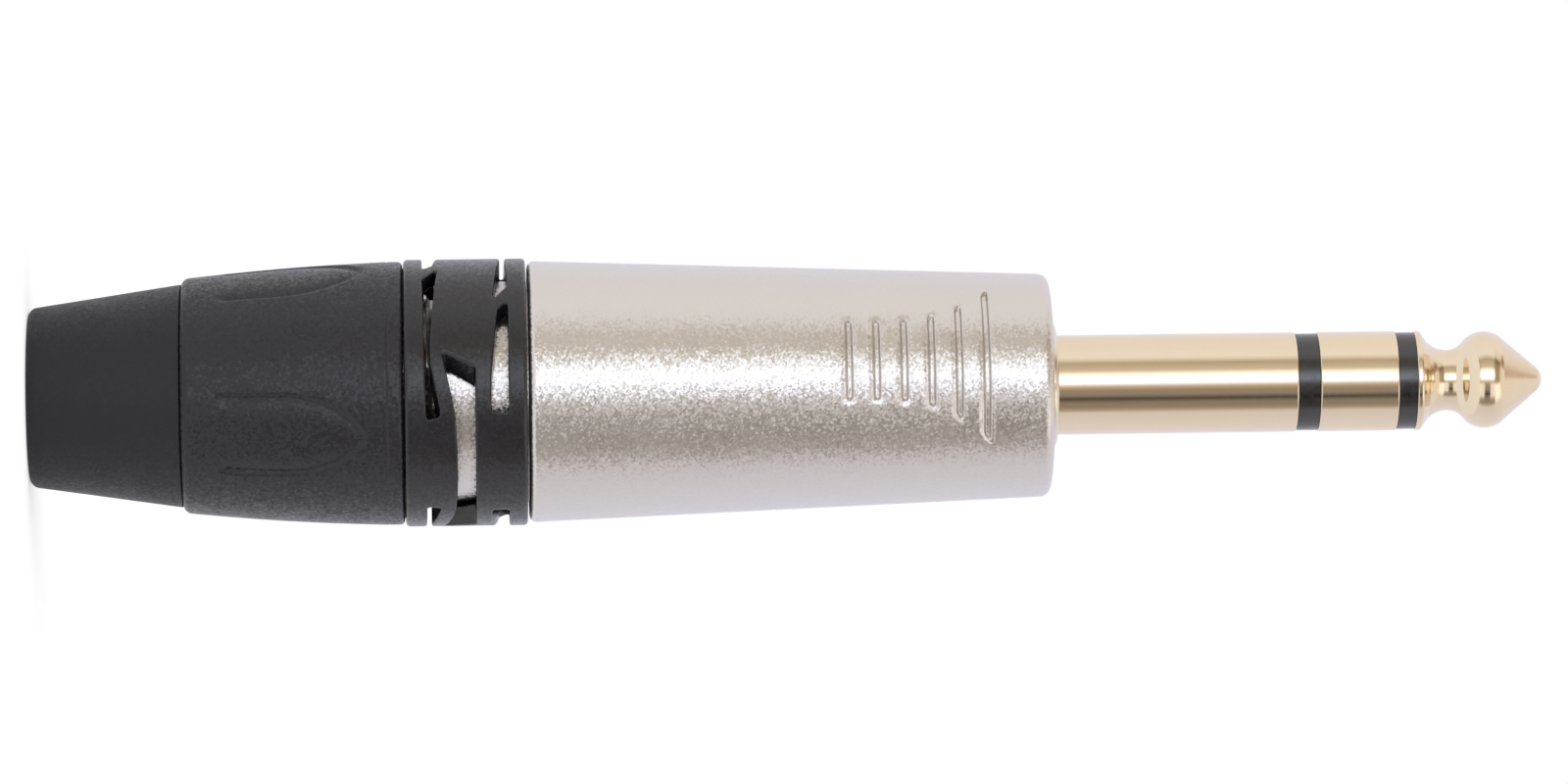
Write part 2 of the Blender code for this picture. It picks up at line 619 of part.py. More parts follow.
def tip_outline():
    """Outer side of the tip, from its flange up over the neck and the bulge to the nose."""
    neck = TIP_NECK_DIAMETER / 2
    bulge = TIP_BULGE_DIAMETER / 2
    cone = TIP_CONE_DIAMETER / 2
    flange_top = TIP_BASE + TIP_FLANGE_WIDTH
    neck_at = TIP_BASE + TIP_NECK_FROM_BASE
    bulge_at = NOSE - TIP_BULGE_FROM_NOSE
    cone_at = NOSE - TIP_CONE_FROM_NOSE
    rim = PIN_RADIUS - INSULATOR_STEP
    points = [(rim, TIP_BASE), (rim, flange_top)]
    for start, end, low, high in ((flange_top, neck_at, rim, neck), (neck_at, bulge_at, neck, bulge)):
        for k in range(1, TIP_STEPS + 1):
            share = (1 - math.cos(math.pi * k / TIP_STEPS)) / 2
            points.append((low + (high - low) * share, start + (end - start) * k / TIP_STEPS))
    points.append((cone, cone_at))
    centre = NOSE - TIP_NOSE_RADIUS
    apart = math.hypot(cone, cone_at - centre)
    touch = math.atan2(cone_at - centre, cone) + math.acos(TIP_NOSE_RADIUS / apart)
    for k in range(FILLET_STEPS):
        swing = touch + (math.pi / 2 - touch) * k / FILLET_STEPS
        points.append((TIP_NOSE_RADIUS * math.cos(swing), centre + TIP_NOSE_RADIUS * math.sin(swing)))
    points.append((0.0, NOSE))
    return points


def make_tip_contact(gold):
    """The tip, one with the rod that runs back through the whole pin."""
    outline = [(0.0, ROD_BOTTOM, 0), (ROD_RADIUS, ROD_BOTTOM, 0), (ROD_RADIUS, TIP_BASE, 0)]
    outline += [(r, z, 0) for r, z in tip_outline()]
    return turned("tip_contact", outline, MIDDLE_SIDES, gold)


def make_tag(name, angle, bore, top, metal):
    """A solder tag: an eye clamped in the stack, and a leg with a hole for the wire."""
    tag = tube(name, bore, bore + TAG_EYE_RIM, top - TAG_THICKNESS, top, THIN_SIDES, metal)
    out = direction(angle)
    across = direction(angle + 90)
    inside = bore + TAG_ARM_IN_EYE
    foot = top - TAG_LENGTH
    inner = TAG_FACE - TAG_THICKNESS
    leg = (
        (inside, top, 0),
        (TAG_FACE, top, TAG_BEND),
        (TAG_FACE, foot, 0),
        (inner, foot, 0),
        (inner, top - TAG_THICKNESS, 0),
        (inside, top - TAG_THICKNESS, 0),
    )
    bm = bmesh.new()
    points = [out * r + Vector((0, 0, z)) for r, z in rounded(leg)]
    prism(bm, points, across, -TAG_WIDTH / 2, TAG_WIDTH / 2)
    combine(tag, helper(name + "_leg", bm), "UNION")
    bm = bmesh.new()
    eye = []
    for k in range(THIN_SIDES):
        turn = 2 * math.pi * k / THIN_SIDES
        z = foot + TAG_HOLE_FROM_END + math.sin(turn) * TAG_HOLE_DIAMETER / 2
        eye.append(across * math.cos(turn) * TAG_HOLE_DIAMETER / 2 + Vector((0, 0, z)))
    prism(bm, eye, out, inner - TAG_THICKNESS, TAG_FACE + TAG_THICKNESS)
    combine(tag, helper(name + "_hole", bm), "DIFFERENCE")
    return tag


def make_pin(gold, black):
    """The contact pin: three contacts, and the insulators between and inside them."""
    make_sleeve_contact(gold)
    make_ring_contact(gold)
    make_tip_contact(gold)
    tube("ring_insulator", RING_TUBE_RADIUS + PIN_FIT, INSULATOR_RADIUS,
         RING_INSULATOR_BOTTOM, RING_INSULATOR_TOP, MIDDLE_SIDES, black)
    tube("tip_insulator", ROD_RADIUS + PIN_FIT, INSULATOR_RADIUS,
         TIP_INSULATOR_BOTTOM, TIP_INSULATOR_TOP, MIDDLE_SIDES, black)
    tube("ring_liner", RING_LINER_BORE, RING_LINER_RADIUS, SLEEVE_BOTTOM, SLEEVE_TOP, THIN_SIDES, black)
    tube("tip_liner", TIP_LINER_BORE, TIP_LINER_RADIUS, RING_TUBE_BOTTOM, RING_TOP, THIN_SIDES, black)


def make_stack(brass, fibre, nickel):
    """The tags and washers behind the pin, closed by a nut on the rod."""
    make_tag("sleeve_tag", 0, PIN_RADIUS + FIT, SLEEVE_TAG_TOP, brass)
    make_tag("ring_tag", 120, RING_TUBE_RADIUS + FIT, RING_TAG_TOP, brass)
    make_tag("tip_tag", 240, ROD_RADIUS + FIT, TIP_TAG_TOP, brass)
    tube("sleeve_washer", RING_TUBE_RADIUS + FIT, WASHER_RADIUS,
         SLEEVE_WASHER_TOP - WASHER_WIDTH, SLEEVE_WASHER_TOP, MIDDLE_SIDES, fibre)
    tube("ring_washer", ROD_RADIUS + FIT, WASHER_RADIUS,
         RING_WASHER_TOP - WASHER_WIDTH, RING_WASHER_TOP, MIDDLE_SIDES, fibre)
    tube("rod_nut", ROD_RADIUS + PIN_FIT, ROD_NUT_ACROSS_CORNERS / 2,
         ROD_NUT_TOP - ROD_NUT_WIDTH, ROD_NUT_TOP, ROD_NUT_SIDES, nickel)


def main():
    clear_scene()
    nickel = finish("satin nickel", (0.72, 0.70, 0.68), 0.35, 1.0)
    bright = finish("bright nickel", (0.85, 0.82, 0.76), 0.15, 1.0)
    gold = finish("polished gold", (0.90, 0.74, 0.46), 0.12, 1.0)
    brass = finish("tinned brass", (0.80, 0.76, 0.68), 0.3, 1.0)
    black = finish("black insulator", (0.015, 0.015, 0.017), 0.25, 0.0)
    plastic = finish("grained black plastic", (0.035, 0.035, 0.038), 0.5, 0.0)
    rubber = finish("black rubber", (0.03, 0.03, 0.032), 0.65, 0.0)
    white = finish("pale plastic", (0.75, 0.74, 0.70), 0.45, 0.0)
    fibre = finish("fibre", (0.35, 0.16, 0.09), 0.7, 0.0)
    make_boot_sleeve(rubber)
    make_boot_nut(plastic)
    make_cable_chuck(white)
    make_shell_housing(nickel)
    make_collar_ring(plastic)
    make_nose_bush(bright)
    make_pin(gold, black)
    make_stack(brass, fibre, bright)
    tube("shell_liner", LINER_TUBE_BORE, STACK_RADIUS, LINER_BOTTOM,
         SLEEVE_FLANGE_BOTTOM - FIT, MIDDLE_SIDES, white)


main()
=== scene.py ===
"""Looks of the stereo jack plug: each skin in full detail, its finish, the camera and the light.

Z runs along the plug, from the flat end of the boot at 0 up to the nose. Angles round it are in
degrees: 0 is -Y, the side that the camera sees, and they grow towards -X, which is up in the picture.
"""

import json
import math

import bmesh
import bpy
import numpy as np
from mathutils import Matrix, Vector


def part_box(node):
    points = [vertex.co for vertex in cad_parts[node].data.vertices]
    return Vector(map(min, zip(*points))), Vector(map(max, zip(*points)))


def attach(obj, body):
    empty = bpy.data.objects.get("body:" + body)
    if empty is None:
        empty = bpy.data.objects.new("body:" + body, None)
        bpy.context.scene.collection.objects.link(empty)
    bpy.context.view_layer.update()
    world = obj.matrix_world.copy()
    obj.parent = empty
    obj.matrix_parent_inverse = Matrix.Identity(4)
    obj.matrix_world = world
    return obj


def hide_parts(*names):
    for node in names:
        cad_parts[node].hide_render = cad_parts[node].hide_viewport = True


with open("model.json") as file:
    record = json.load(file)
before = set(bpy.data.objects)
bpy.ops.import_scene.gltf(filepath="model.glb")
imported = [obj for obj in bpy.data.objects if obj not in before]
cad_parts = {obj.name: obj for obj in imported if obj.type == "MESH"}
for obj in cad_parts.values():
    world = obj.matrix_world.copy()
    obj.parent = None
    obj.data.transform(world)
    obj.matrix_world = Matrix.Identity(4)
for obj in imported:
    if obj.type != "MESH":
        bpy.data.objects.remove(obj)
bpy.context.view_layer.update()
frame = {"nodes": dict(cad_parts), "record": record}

MM = 0.001


def ends(node):
    """Lowest and highest point of a node along the plug."""
    low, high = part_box(node)
    return low.z, high.z


# Places along the plug, from the frame
NUT_LOW, NUT_HIGH = ends("boot_nut")
SPIGOT_HIGH = ends("boot_sleeve")[1]
COLLAR_LOW, COLLAR_HIGH = ends("collar_ring")
NECK_LOW, SHELL_FRONT = ends("shell_housing")
BUSH_LOW, BOSS_FACE = ends("nose_bush")
SLEEVE_LOW, SLEEVE_HIGH = ends("sleeve_contact")
RING_TUBE_LOW, RING_HIGH = ends("ring_contact")
ROD_LOW, NOSE = ends("tip_contact")
CHUCK_LOW = ends("cable_chuck")[0]
FLANGE_SEAT = ends("shell_liner")[1]

# Visible joints between the pieces, where the photograph has them
NUT_REAR = NUT_LOW - 0.22 * MM
NUT_FRONT = NUT_HIGH + 0.08 * MM
COLLAR_REAR = COLLAR_LOW - 0.15 * MM
COLLAR_FRONT = COLLAR_HIGH - 0.05 * MM
SHELL_REAR = COLLAR_HIGH + 0.05 * MM

# Clearances
FIT = 0.3 * MM
HAIR = 0.02 * MM

# Contact pin
PIN_RADIUS = 3.175 * MM
INSULATOR_RADIUS = 3.095 * MM
JOINT_SHIFT = 0.13 * MM
RING_WIDTH = 4.9 * MM
TIP_LENGTH = 8.2 * MM
SLEEVE_FRONT = SLEEVE_HIGH - JOINT_SHIFT
RING_LOW = RING_HIGH - RING_WIDTH - JOINT_SHIFT
TIP_BASE = NOSE - TIP_LENGTH
RING_TUBE_RADIUS = 1.6 * MM
RING_TUBE_BORE = 1.3 * MM
SLEEVE_BORE = 2.25 * MM
ROD_RADIUS = 0.65 * MM
LINER_ROOM = 0.2 * MM
FLANGE_RADIUS = 5.3 * MM
FLANGE_WIDTH = 1.2 * MM
PIN_EDGE = 0.1 * MM

# Tip: flange, hollow neck, bulge, cone and round nose
TIP_RIM_WIDTH = 0.24 * MM
TIP_RIM_EDGE = 0.2 * MM
TIP_RIM_SLOPE = 55.0
NECK_SHOULDER_RADIUS = 2.45 * MM
NECK_FLARE_RADIUS = 2.33 * MM
NECK_FLARE = 1.75 * MM
WAIST_RADIUS = 1.93 * MM
WAIST_ARC = 1.3 * MM
BULGE_RADIUS = 3.085 * MM
BULGE_FROM_NOSE = 3.69 * MM
BULGE_ARC = 1.75 * MM
CONE_FROM_NOSE = 2.68 * MM
CONE_RADIUS = 2.73 * MM
CONE_STEP = 0.05 * MM
NOSE_ARC = 1.05 * MM

# Shell
SHELL_REAR_RADIUS = 8.33 * MM
SHELL_FRONT_RADIUS = 7.1 * MM
SHELL_REAR_EDGE = 0.45 * MM
SHELL_FRONT_EDGE = 0.65 * MM
FRONT_WALL = 1.55 * MM
CHAMBER_RADIUS = 5.6 * MM
NECK_RADIUS = 7.05 * MM
NECK_BORE = 5.1 * MM
NECK_ABOVE_NUT = 2.05 * MM
CHAMBER_FROM_REAR = 0.6 * MM
BOSS_RADIUS = 4.0 * MM
BOSS_EDGE = 0.3 * MM
KEY_SLOT_WIDTH = 1.6 * MM
KEY_SLOT_HIGH = CHUCK_LOW + 7.55 * MM

# Grip marks of the shell
GRIP_COUNT = 6
GRIP_PITCH = 1.745 * MM
GRIP_LAST_FROM_FRONT = 4.32 * MM
GRIP_FLOOR = 0.09 * MM
GRIP_HALF_WIDTH = 0.27 * MM
GRIP_DEPTH = 0.22 * MM
# Shares of a grip mark's depth between which its walls get painted shade
PAINTED_SHADE_DEPTHS = (0.2, 0.8)
HALO_DEPTH = 0.05 * MM
HALO_WIDTH = 0.60 * MM
GRIP_CENTRE = 14.0
GRIP_HALF_ANGLE = 20.4
GRIP_FLARE = 21.1
GRIP_FLARE_POWER = 3.5

# Thread of the neck and of the nut, right-handed
THREAD_PITCH = 1.0 * MM
THREAD_CORE = 5.9 * MM
THREAD_HEIGHT = 0.45 * MM
NUT_BORE = 6.5 * MM
CREST_HALF = 0.075
FLANK_END = 0.275
THREAD_FADE = 0.6 * MM

# Collar ring
COLLAR_RADIUS = 8.5 * MM
COLLAR_BORE = 7.35 * MM
COLLAR_EDGE = 0.25 * MM
WINDOW_EDGE = 0.12
WINDOW_CORNER = 0.18
MOULD_ANGLE = 55.0

# Boot nut
NUT_FRONT_RADIUS = 8.37 * MM
NUT_TAPER = 0.92 * MM
NUT_SWELL = 0.13 * MM
NUT_BAND = 1.16 * MM
NUT_REAR_EDGE = 0.48 * MM
NUT_FRONT_EDGE = 0.3 * MM

# Land that closes most of the gap before the collar, and its openings by angle
LAND_RADIUS = 7.95 * MM
LAND_GAP = 0.02 * MM
LAND_OPENINGS = ((10, 34), (-4, -1), (-41, -36))
LAND_END = 2.0

# Seam round the nut's front, and the nut's inside
SEAM_FROM_FRONT = 1.0 * MM
SEAM_DEPTH = 0.03 * MM
SEAM_HALF_WIDTH = 0.06 * MM
SOCKET_RADIUS = 5.7 * MM
SOCKET_DEPTH = 3.42 * MM
WEB_BORE = 4.3 * MM
WEB_WIDTH = 0.7 * MM
SEAT_RADIUS = 4.8 * MM
HEAD_BORE = 5.9 * MM
HEAD_HEIGHT = 6.35 * MM

# Petal-shaped grips of the nut, each bounded by a lopsided groove
PETAL_COUNT = 4
PETAL_CENTRE = -19.5
PETAL_HALF_ANGLE = 20.3
PETAL_START = 2.1 * MM
PETAL_FULL = 3.0 * MM
PETAL_WIDEST = 6.2 * MM
PETAL_END = 11.7 * MM
PETAL_TAPER = 0.65
GROOVE_DEPTH = 0.21 * MM
GROOVE_WALL = 0.30 * MM
PETAL_SINK = 0.03 * MM
PETAL_RISE = 0.42 * MM

# Boot sleeve
SLEEVE_REAR_RADIUS = 5.66 * MM
SLEEVE_FRONT_RADIUS = 7.10 * MM
SLEEVE_REAR_EDGE = 0.65 * MM
SLEEVE_FRONT_EDGE = 0.08 * MM
CABLE_HOLE = 3.5 * MM
CABLE_HOLE_EDGE = 0.25 * MM
SPIGOT_RADIUS = 5.4 * MM

# Mesh fineness
ARC_STEP = 9.0
WIDE_SIDES = 192
PIN_SIDES = 144
NUT_COLUMNS = 432
NUT_ROW = 0.125 * MM
NUT_EDGE_STEP = 15
PETAL_SIDE_POINTS = 40
PETAL_TOP_POINTS = 90
THREAD_ROW = THREAD_PITCH / 8
SHELL_ROW = 1.5 * MM
SUPPORT = 0.05 * MM
WELD = HAIR / 100
SHELL_CREASE = 45.0

# Columns of half the shell, as start, end and step in degrees, and rows from a grip mark's middle in mm
SHELL_COLUMNS = ((-48, -18, 0.75), (-18, 18, 2.0), (18, 48, 0.75), (48, 132, 3.0))
GRIP_ROWS = ((0, 0.07, 0.06), (0.09, 0.28, 0.03), (0.32, 0.63, 0.06))

# Collar's mesh: its grid and the step that its slopes are taken over, in mm, how many radii its
# cutters reach, and how often its points settle on the surface
COLLAR_GRID = 0.115
NUDGE = 0.01
CUTTER_REACH = 1.5
SETTLING_ROUNDS = 2

# The photograph's frame and its camera
PHOTO_WIDTH = 1600
FOCAL_PIXELS = 8570
SENSOR_WIDTH = 36.0
CAMERA_AWAY = 536 * MM
CAMERA_HEIGHT = 26.9 * MM
AIM_HEIGHT = 48.06 * MM
AIM_ASIDE = 0.226 * MM
CAMERA_ROLL = 0.727

# Node trees: how far their nodes lie apart, and the share of a mask that spans a finish's range
NODE_APART = (200, -180)
MASK_LOW = 0.3
MASK_HIGH = 0.7

# Floor and lamp, in metres
FLOOR_RADIUS = 0.16
FLOOR_SIDES = 96
FLOOR_SHADE = 0.62
FLOOR_SEEN = 0.5
FLOOR_MIRRORED = 0.26
KEY_SIZE = (0.5, 0.4)
KEY_ENERGY = 1.5
KEY_PLACE = (-0.35, -0.45, 0.55)
KEY_AIM = (0, 0, 0.04)

# Window outlines of the collar from its middle: along the plug, then across the mould, in mm
PAST_RIM = 10.5
WINDOWS = (
    ((-2.68, 0.36), (-2.50, -7.75), (-1.6, -7.63), (-1.95, -6.72), (-2.25, -5.72), (-2.25, -4.66),
     (-2.1, -2.7), (-1.79, 1.1), (-1.71, 1.74)),
    ((-1.5, -5.08), (-1.1, -6.41), (-0.66, -7.62), (-0.53, -8.4), (-0.53, -PAST_RIM),
     (0.6, -PAST_RIM), (0.6, -5.87)),
    ((2.7, -1.77), (2.07, -2.48), (1.85, -4.43), (1.63, -6.22), (1.6, -7.55), (2.7, -7.57)),
)


def smooth(low, high, value):
    """0 below low, 1 above high and an S curve between them."""
    share = np.clip((value - low) / (high - low), 0, 1)
    return share * share * (3 - 2 * share)


def direction(angle):
    """Unit vector square to the axis."""
    turn = math.radians(angle)
    return Vector((-math.sin(turn), -math.cos(turn), 0))


def arcs(outline):
    """Points of a closed outline of (radius, height, fillet) corners, with support by each corner."""
    points = []
    for i, (r, z, fillet) in enumerate(outline):
        corner = Vector((r, z))
        before = (Vector(outline[i - 1][:2]) - corner).normalized()
        after = (Vector(outline[(i + 1) % len(outline)][:2]) - corner).normalized()
        if fillet == 0:
            points += [corner + before * SUPPORT, corner, corner + after * SUPPORT]
            continue
        half = before.angle(after) / 2
        centre = corner + (before + after).normalized() * fillet / math.sin(half)
        first = corner + before * fillet / math.tan(half) - centre
        last = corner + after * fillet / math.tan(half) - centre
        turn = first.angle_signed(last)
        steps = max(2, math.ceil(abs(math.degrees(turn)) / ARC_STEP))
        points.append(centre + first + before * SUPPORT)
        for k in range(steps + 1):
            swing = -turn * k / steps
            x = first.x * math.cos(swing) - first.y * math.sin(swing)
            y = first.x * math.sin(swing) + first.y * math.cos(swing)
            points.append(centre + Vector((x, y)))
        points.append(centre + last + after * SUPPORT)
    return np.array([point[:] for point in points])


def full_grid(values, count):
    """Values given by row, or by row and column, as a full grid of rows and columns."""
    values = np.asarray(values)
    return values if values.ndim == 2 else np.repeat(values[:, None], count, axis=1)


def spun(radius, height, angles, closed=True):
    """Points and faces of a skin whose rows follow an outline and whose columns go round the axis."""
    turn = np.radians(angles)[None, :]
    radius, height = full_grid(radius, len(angles)), full_grid(height, len(angles))
    points = np.stack([-np.sin(turn) * radius, -np.cos(turn) * radius, height], axis=-1)
    lower = np.arange(radius.size).reshape(radius.shape)
    upper = np.roll(lower, -1, axis=0)
    if not closed:
        lower, upper = lower[:-1], upper[:-1]
    beside_upper, beside_lower = np.roll(upper, -1, axis=1), np.roll(lower, -1, axis=1)
    faces = np.stack([lower, upper, beside_upper, beside_lower], axis=-1)
    return points.reshape(-1, 3), faces.reshape(-1, 4)


def linked(name, data):
    """An object in the scene that holds a mesh, a lamp or a camera."""
    obj = bpy.data.objects.new(name, data)
    bpy.context.scene.collection.objects.link(obj)
    return obj


def built(name, bm):
    """An object with the mesh that has been built."""
    mesh = bpy.data.meshes.new(name)
    bm.to_mesh(mesh)
    bm.free()
    return linked(name, mesh)


def skin(name, points, faces, sharp=30.0):
    """A smooth-shaded mesh object, creased where its faces meet at more than the sharp angle."""
    mesh = bpy.data.meshes.new(name)
    mesh.from_pydata(points.tolist(), [], faces.tolist())
    bm = bmesh.new()
    bm.from_mesh(mesh)
    bmesh.ops.remove_doubles(bm, verts=bm.verts, dist=WELD)
    bmesh.ops.dissolve_degenerate(bm, edges=bm.edges, dist=WELD)
    bmesh.ops.recalc_face_normals(bm, faces=bm.faces)
    bm.to_mesh(mesh)
    bm.free()
    mesh.shade_smooth()
    mesh.set_sharp_from_angle(angle=math.radians(sharp))
    return linked(name, mesh)


def all_round(sides):
    """Angles of evenly spaced columns."""
    return 360 * np.arange(sides) / sides


def add_prism(bm, low, high):
    """Add a closed prism between two outlines of places."""
    low = [bm.verts.new(place) for place in low]
    high = [bm.verts.new(place) for place in high]
    bm.faces.new(low)
    bm.faces.new(high)
    for i in range(len(low)):
        j = (i + 1) % len(low)
        bm.faces.new((low[i], low[j], high[j], high[i]))


def cut_out(obj, name, bm, cuts_itself=False):
    """Take the prisms that have been built out of an object, and return them as its cutter."""
    bmesh.ops.recalc_face_normals(bm, faces=bm.faces)
    cutter = built(name, bm)
    cut = obj.modifiers.new(name, "BOOLEAN")
    cut.operation = "DIFFERENCE"
    cut.solver = "EXACT"
    cut.use_self = cuts_itself
    cut.object = cutter
    return cutter


def modified_mesh(obj):
    """The object's mesh as its modifiers leave it."""
    graph = bpy.context.evaluated_depsgraph_get()
    return bpy.data.meshes.new_from_object(obj.evaluated_get(graph))


def dress(obj, material, body, slot, *nodes):
    """Give a piece its material, its body and the nodes that it stands for; the record's slot is not
    used.
    """
    obj.data.materials.clear()
    obj.data.materials.append(material)
    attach(obj, body)
    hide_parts(*nodes)
    return obj


def turned_piece(node, outline, sides, material, body, slot):
    """A node's skin turned about the axis from (radius, height, fillet) corners, and dressed."""
    points = arcs(outline)
    piece = skin(node + "_skin", *spun(points[:, 0], points[:, 1], all_round(sides)))
    return dress(piece, material, body, slot, node)


def thread_height(angles, heights, low, high):
    """Share of the thread's height at each place, fading out at both ends of its stretch."""
    phase = (heights[:, None] / THREAD_PITCH + angles[None, :] / 360) % 1
    ridge = np.clip((FLANK_END - np.abs(phase - 0.5)) / (FLANK_END - CREST_HALF), 0, 1)
    fade = smooth(low, low + THREAD_FADE, heights) * (1 - smooth(high - THREAD_FADE, high, heights))
    return ridge * fade[:, None]


# Boot sleeve and boot nut


def make_boot_sleeve(rubber):
    """The soft tapered end that the cable passes through, seated against the nut."""
    seat = NUT_REAR - HAIR
    outline = (
        (CABLE_HOLE, 0, CABLE_HOLE_EDGE),
        (SLEEVE_REAR_RADIUS, 0, SLEEVE_REAR_EDGE),
        (SLEEVE_FRONT_RADIUS, seat, SLEEVE_FRONT_EDGE),
        (SPIGOT_RADIUS, seat, 0),
        (SPIGOT_RADIUS, SPIGOT_HIGH, SLEEVE_FRONT_EDGE),
        (CABLE_HOLE, SPIGOT_HIGH, SLEEVE_FRONT_EDGE),
    )
    return turned_piece("boot_sleeve", outline, WIDE_SIDES, rubber, "boot", "rubber")


def nut_radius(rise):
    """Outer radius of the nut at a height above its rear face."""
    length = NUT_FRONT - NUT_REAR
    share = np.minimum(1.0, rise / (length - NUT_BAND))
    return NUT_FRONT_RADIUS - NUT_TAPER * (1 - share) + NUT_SWELL * np.sin(np.pi * share)


def petal_half_angle(rise):
    """Half of the angle that a petal takes at a height above the nut's rear face."""
    share = np.clip((rise - PETAL_WIDEST) / (PETAL_END - PETAL_WIDEST), 0, 1)
    return PETAL_HALF_ANGLE * (1 - share**2) ** PETAL_TAPER


def petal_depth(aside, rise):
    """How far the nut's skin sinks at an angle from a petal's middle and a height."""
    side = np.linspace(0, PETAL_WIDEST, PETAL_SIDE_POINTS)[:-1]
    swing = np.linspace(0, 1, PETAL_TOP_POINTS)
    top = PETAL_WIDEST + (PETAL_END - PETAL_WIDEST) * np.sin(swing * np.pi / 2)
    edge_rise = np.concatenate([side, top])
    edge_across = np.radians(petal_half_angle(edge_rise)) * nut_radius(edge_rise)
    across = np.radians(np.abs(aside))[None, :] * nut_radius(rise)[:, None]
    gap = np.hypot(across[:, :, None] - edge_across, rise[:, None, None] - edge_rise).min(axis=2)
    inside = np.abs(aside)[None, :] < petal_half_angle(rise)[:, None]
    inside &= (rise < PETAL_END)[:, None]
    inward = np.where(inside, gap, 0)
    wall = smooth(0, GROOVE_WALL, inward)
    floor = np.exp(-np.maximum(inward - GROOVE_WALL, 0) / PETAL_RISE)
    depth = wall * (PETAL_SINK + (GROOVE_DEPTH - PETAL_SINK) * floor)
    return depth * smooth(PETAL_START, PETAL_FULL, rise)[:, None]


def nut_rows():
    """Heights and radii of the nut's outer rows, closer together along the petals and the seam."""
    length = NUT_FRONT - NUT_REAR
    seam = length - SEAM_FROM_FRONT
    swing = np.radians(np.arange(0, 91, NUT_EDGE_STEP))
    rear = NUT_REAR_EDGE * (1 - np.cos(swing))
    front = length - NUT_FRONT_EDGE * (1 - np.sin(swing))
    body = np.arange(NUT_REAR_EDGE + SUPPORT, PETAL_END + FIT, NUT_ROW)
    near_seam = seam + SEAM_HALF_WIDTH * np.array([-3, -1, -0.5, 0, 0.5, 1, 3])
    rest = np.array([PETAL_END + 2 * FIT, length - NUT_BAND - FIT, length - NUT_BAND])
    rise = np.unique(np.round(np.concatenate([rear, body, rest, near_seam, front]), 8))
    radius = nut_radius(rise)
    radius -= NUT_REAR_EDGE * (1 - np.sin(np.arccos(np.clip(1 - rise / NUT_REAR_EDGE, 0, 1))))
    into_front = np.clip((rise - length + NUT_FRONT_EDGE) / NUT_FRONT_EDGE, 0, 1)
    radius -= NUT_FRONT_EDGE * (1 - np.sqrt(1 - into_front**2))
    radius -= SEAM_DEPTH * np.clip(1 - np.abs(rise - seam) / SEAM_HALF_WIDTH, 0, 1)
    return rise, radius


def nut_outside(angles):
    """Radii and heights of the nut's outside, with its petals."""
    rise, radius = nut_rows()
    turn = 360 / PETAL_COUNT
    aside = (angles - PETAL_CENTRE + turn / 2) % turn - turn / 2
    repeat = len(angles) // PETAL_COUNT
    return radius[:, None] - np.tile(petal_depth(aside[:repeat], rise), PETAL_COUNT), NUT_REAR + rise


def nut_land(angles):
    """Radii and heights of the nut's front face and of the land that stands up from it."""
    land = np.ones(len(angles))
    for start, end in LAND_OPENINGS:
        inside = (end - start) / 2 - np.abs((angles - (start + end) / 2 + 90) % 180 - 90)
        land = np.minimum(land, 1 - smooth(0, LAND_END, inside + LAND_END / 2))
    inmost = NUT_BORE + FIT
    radius = inmost + (LAND_RADIUS - inmost) * land
    top = NUT_FRONT + (COLLAR_REAR - LAND_GAP - NUT_FRONT) * land
    face = np.full(len(angles), NUT_FRONT_RADIUS - NUT_FRONT_EDGE - SUPPORT)
    floor = np.full(len(angles), NUT_FRONT)
    bore = np.full(len(angles), NUT_BORE + FIT / 2)
    return np.array([face, radius + HAIR, radius, bore]), np.array([floor, floor, top, top])


def nut_thread(angles):
    """Radii and heights of the nut's thread, whose ridges fill the grooves of the neck's."""
    high = NUT_FRONT - FIT
    low = NUT_REAR + HEAD_HEIGHT + THREAD_FADE
    height = np.arange(high, low, -THREAD_ROW)
    return NUT_BORE - THREAD_HEIGHT * thread_height(angles + 180, height, low, high), height


def nut_inside():
    """Outline of the room for the chuck's head, its seat, the web and the socket of the boot sleeve."""
    head = NUT_REAR + HEAD_HEIGHT
    web_low = NUT_REAR + SOCKET_DEPTH
    web_high = web_low + WEB_WIDTH
    return arcs((
        (NUT_BORE, head, 0), (HEAD_BORE, head, 0),
        (SEAT_RADIUS, CHUCK_LOW, 0), (SEAT_RADIUS, web_high, 0),
        (WEB_BORE, web_high, 0), (WEB_BORE, web_low, 0),
        (SOCKET_RADIUS, web_low, 0), (SOCKET_RADIUS, NUT_REAR, PIN_EDGE),
        (nut_radius(0) - NUT_REAR_EDGE, NUT_REAR, 0),
    ))[1:-2].T


def make_boot_nut(plastic):
    """The nut that squeezes the chuck, with four petals outside and its thread inside."""
    angles = PETAL_CENTRE + all_round(NUT_COLUMNS)
    parts = nut_outside(angles), nut_land(angles), nut_thread(angles), nut_inside()
    radius, height = (
        np.concatenate([full_grid(part, NUT_COLUMNS) for part in values]) for values in zip(*parts)
    )
    nut = skin("boot_nut_skin", *spun(radius, height, angles), sharp=40.0)
    return dress(nut, plastic, "boot", "grained_plastic", "boot_nut")


# Collar ring


def window_outline(corners):
    """A window's outline with each inner corner drawn as a short arc."""
    points = []
    for i, here in enumerate(corners):
        corner = Vector(here)
        before = Vector(corners[i - 1]) - corner
        after = Vector(corners[(i + 1) % len(corners)]) - corner
        half = before.angle(after) / 2
        reach = min(WINDOW_CORNER / math.tan(half), before.length / 2, after.length / 2)
        start = corner + before.normalized() * reach
        end = corner + after.normalized() * reach
        for share in (0, 0.33, 0.67, 1):
            points.append(start.lerp(corner, share).lerp(corner.lerp(end, share), share)[:])
    return np.array(points)


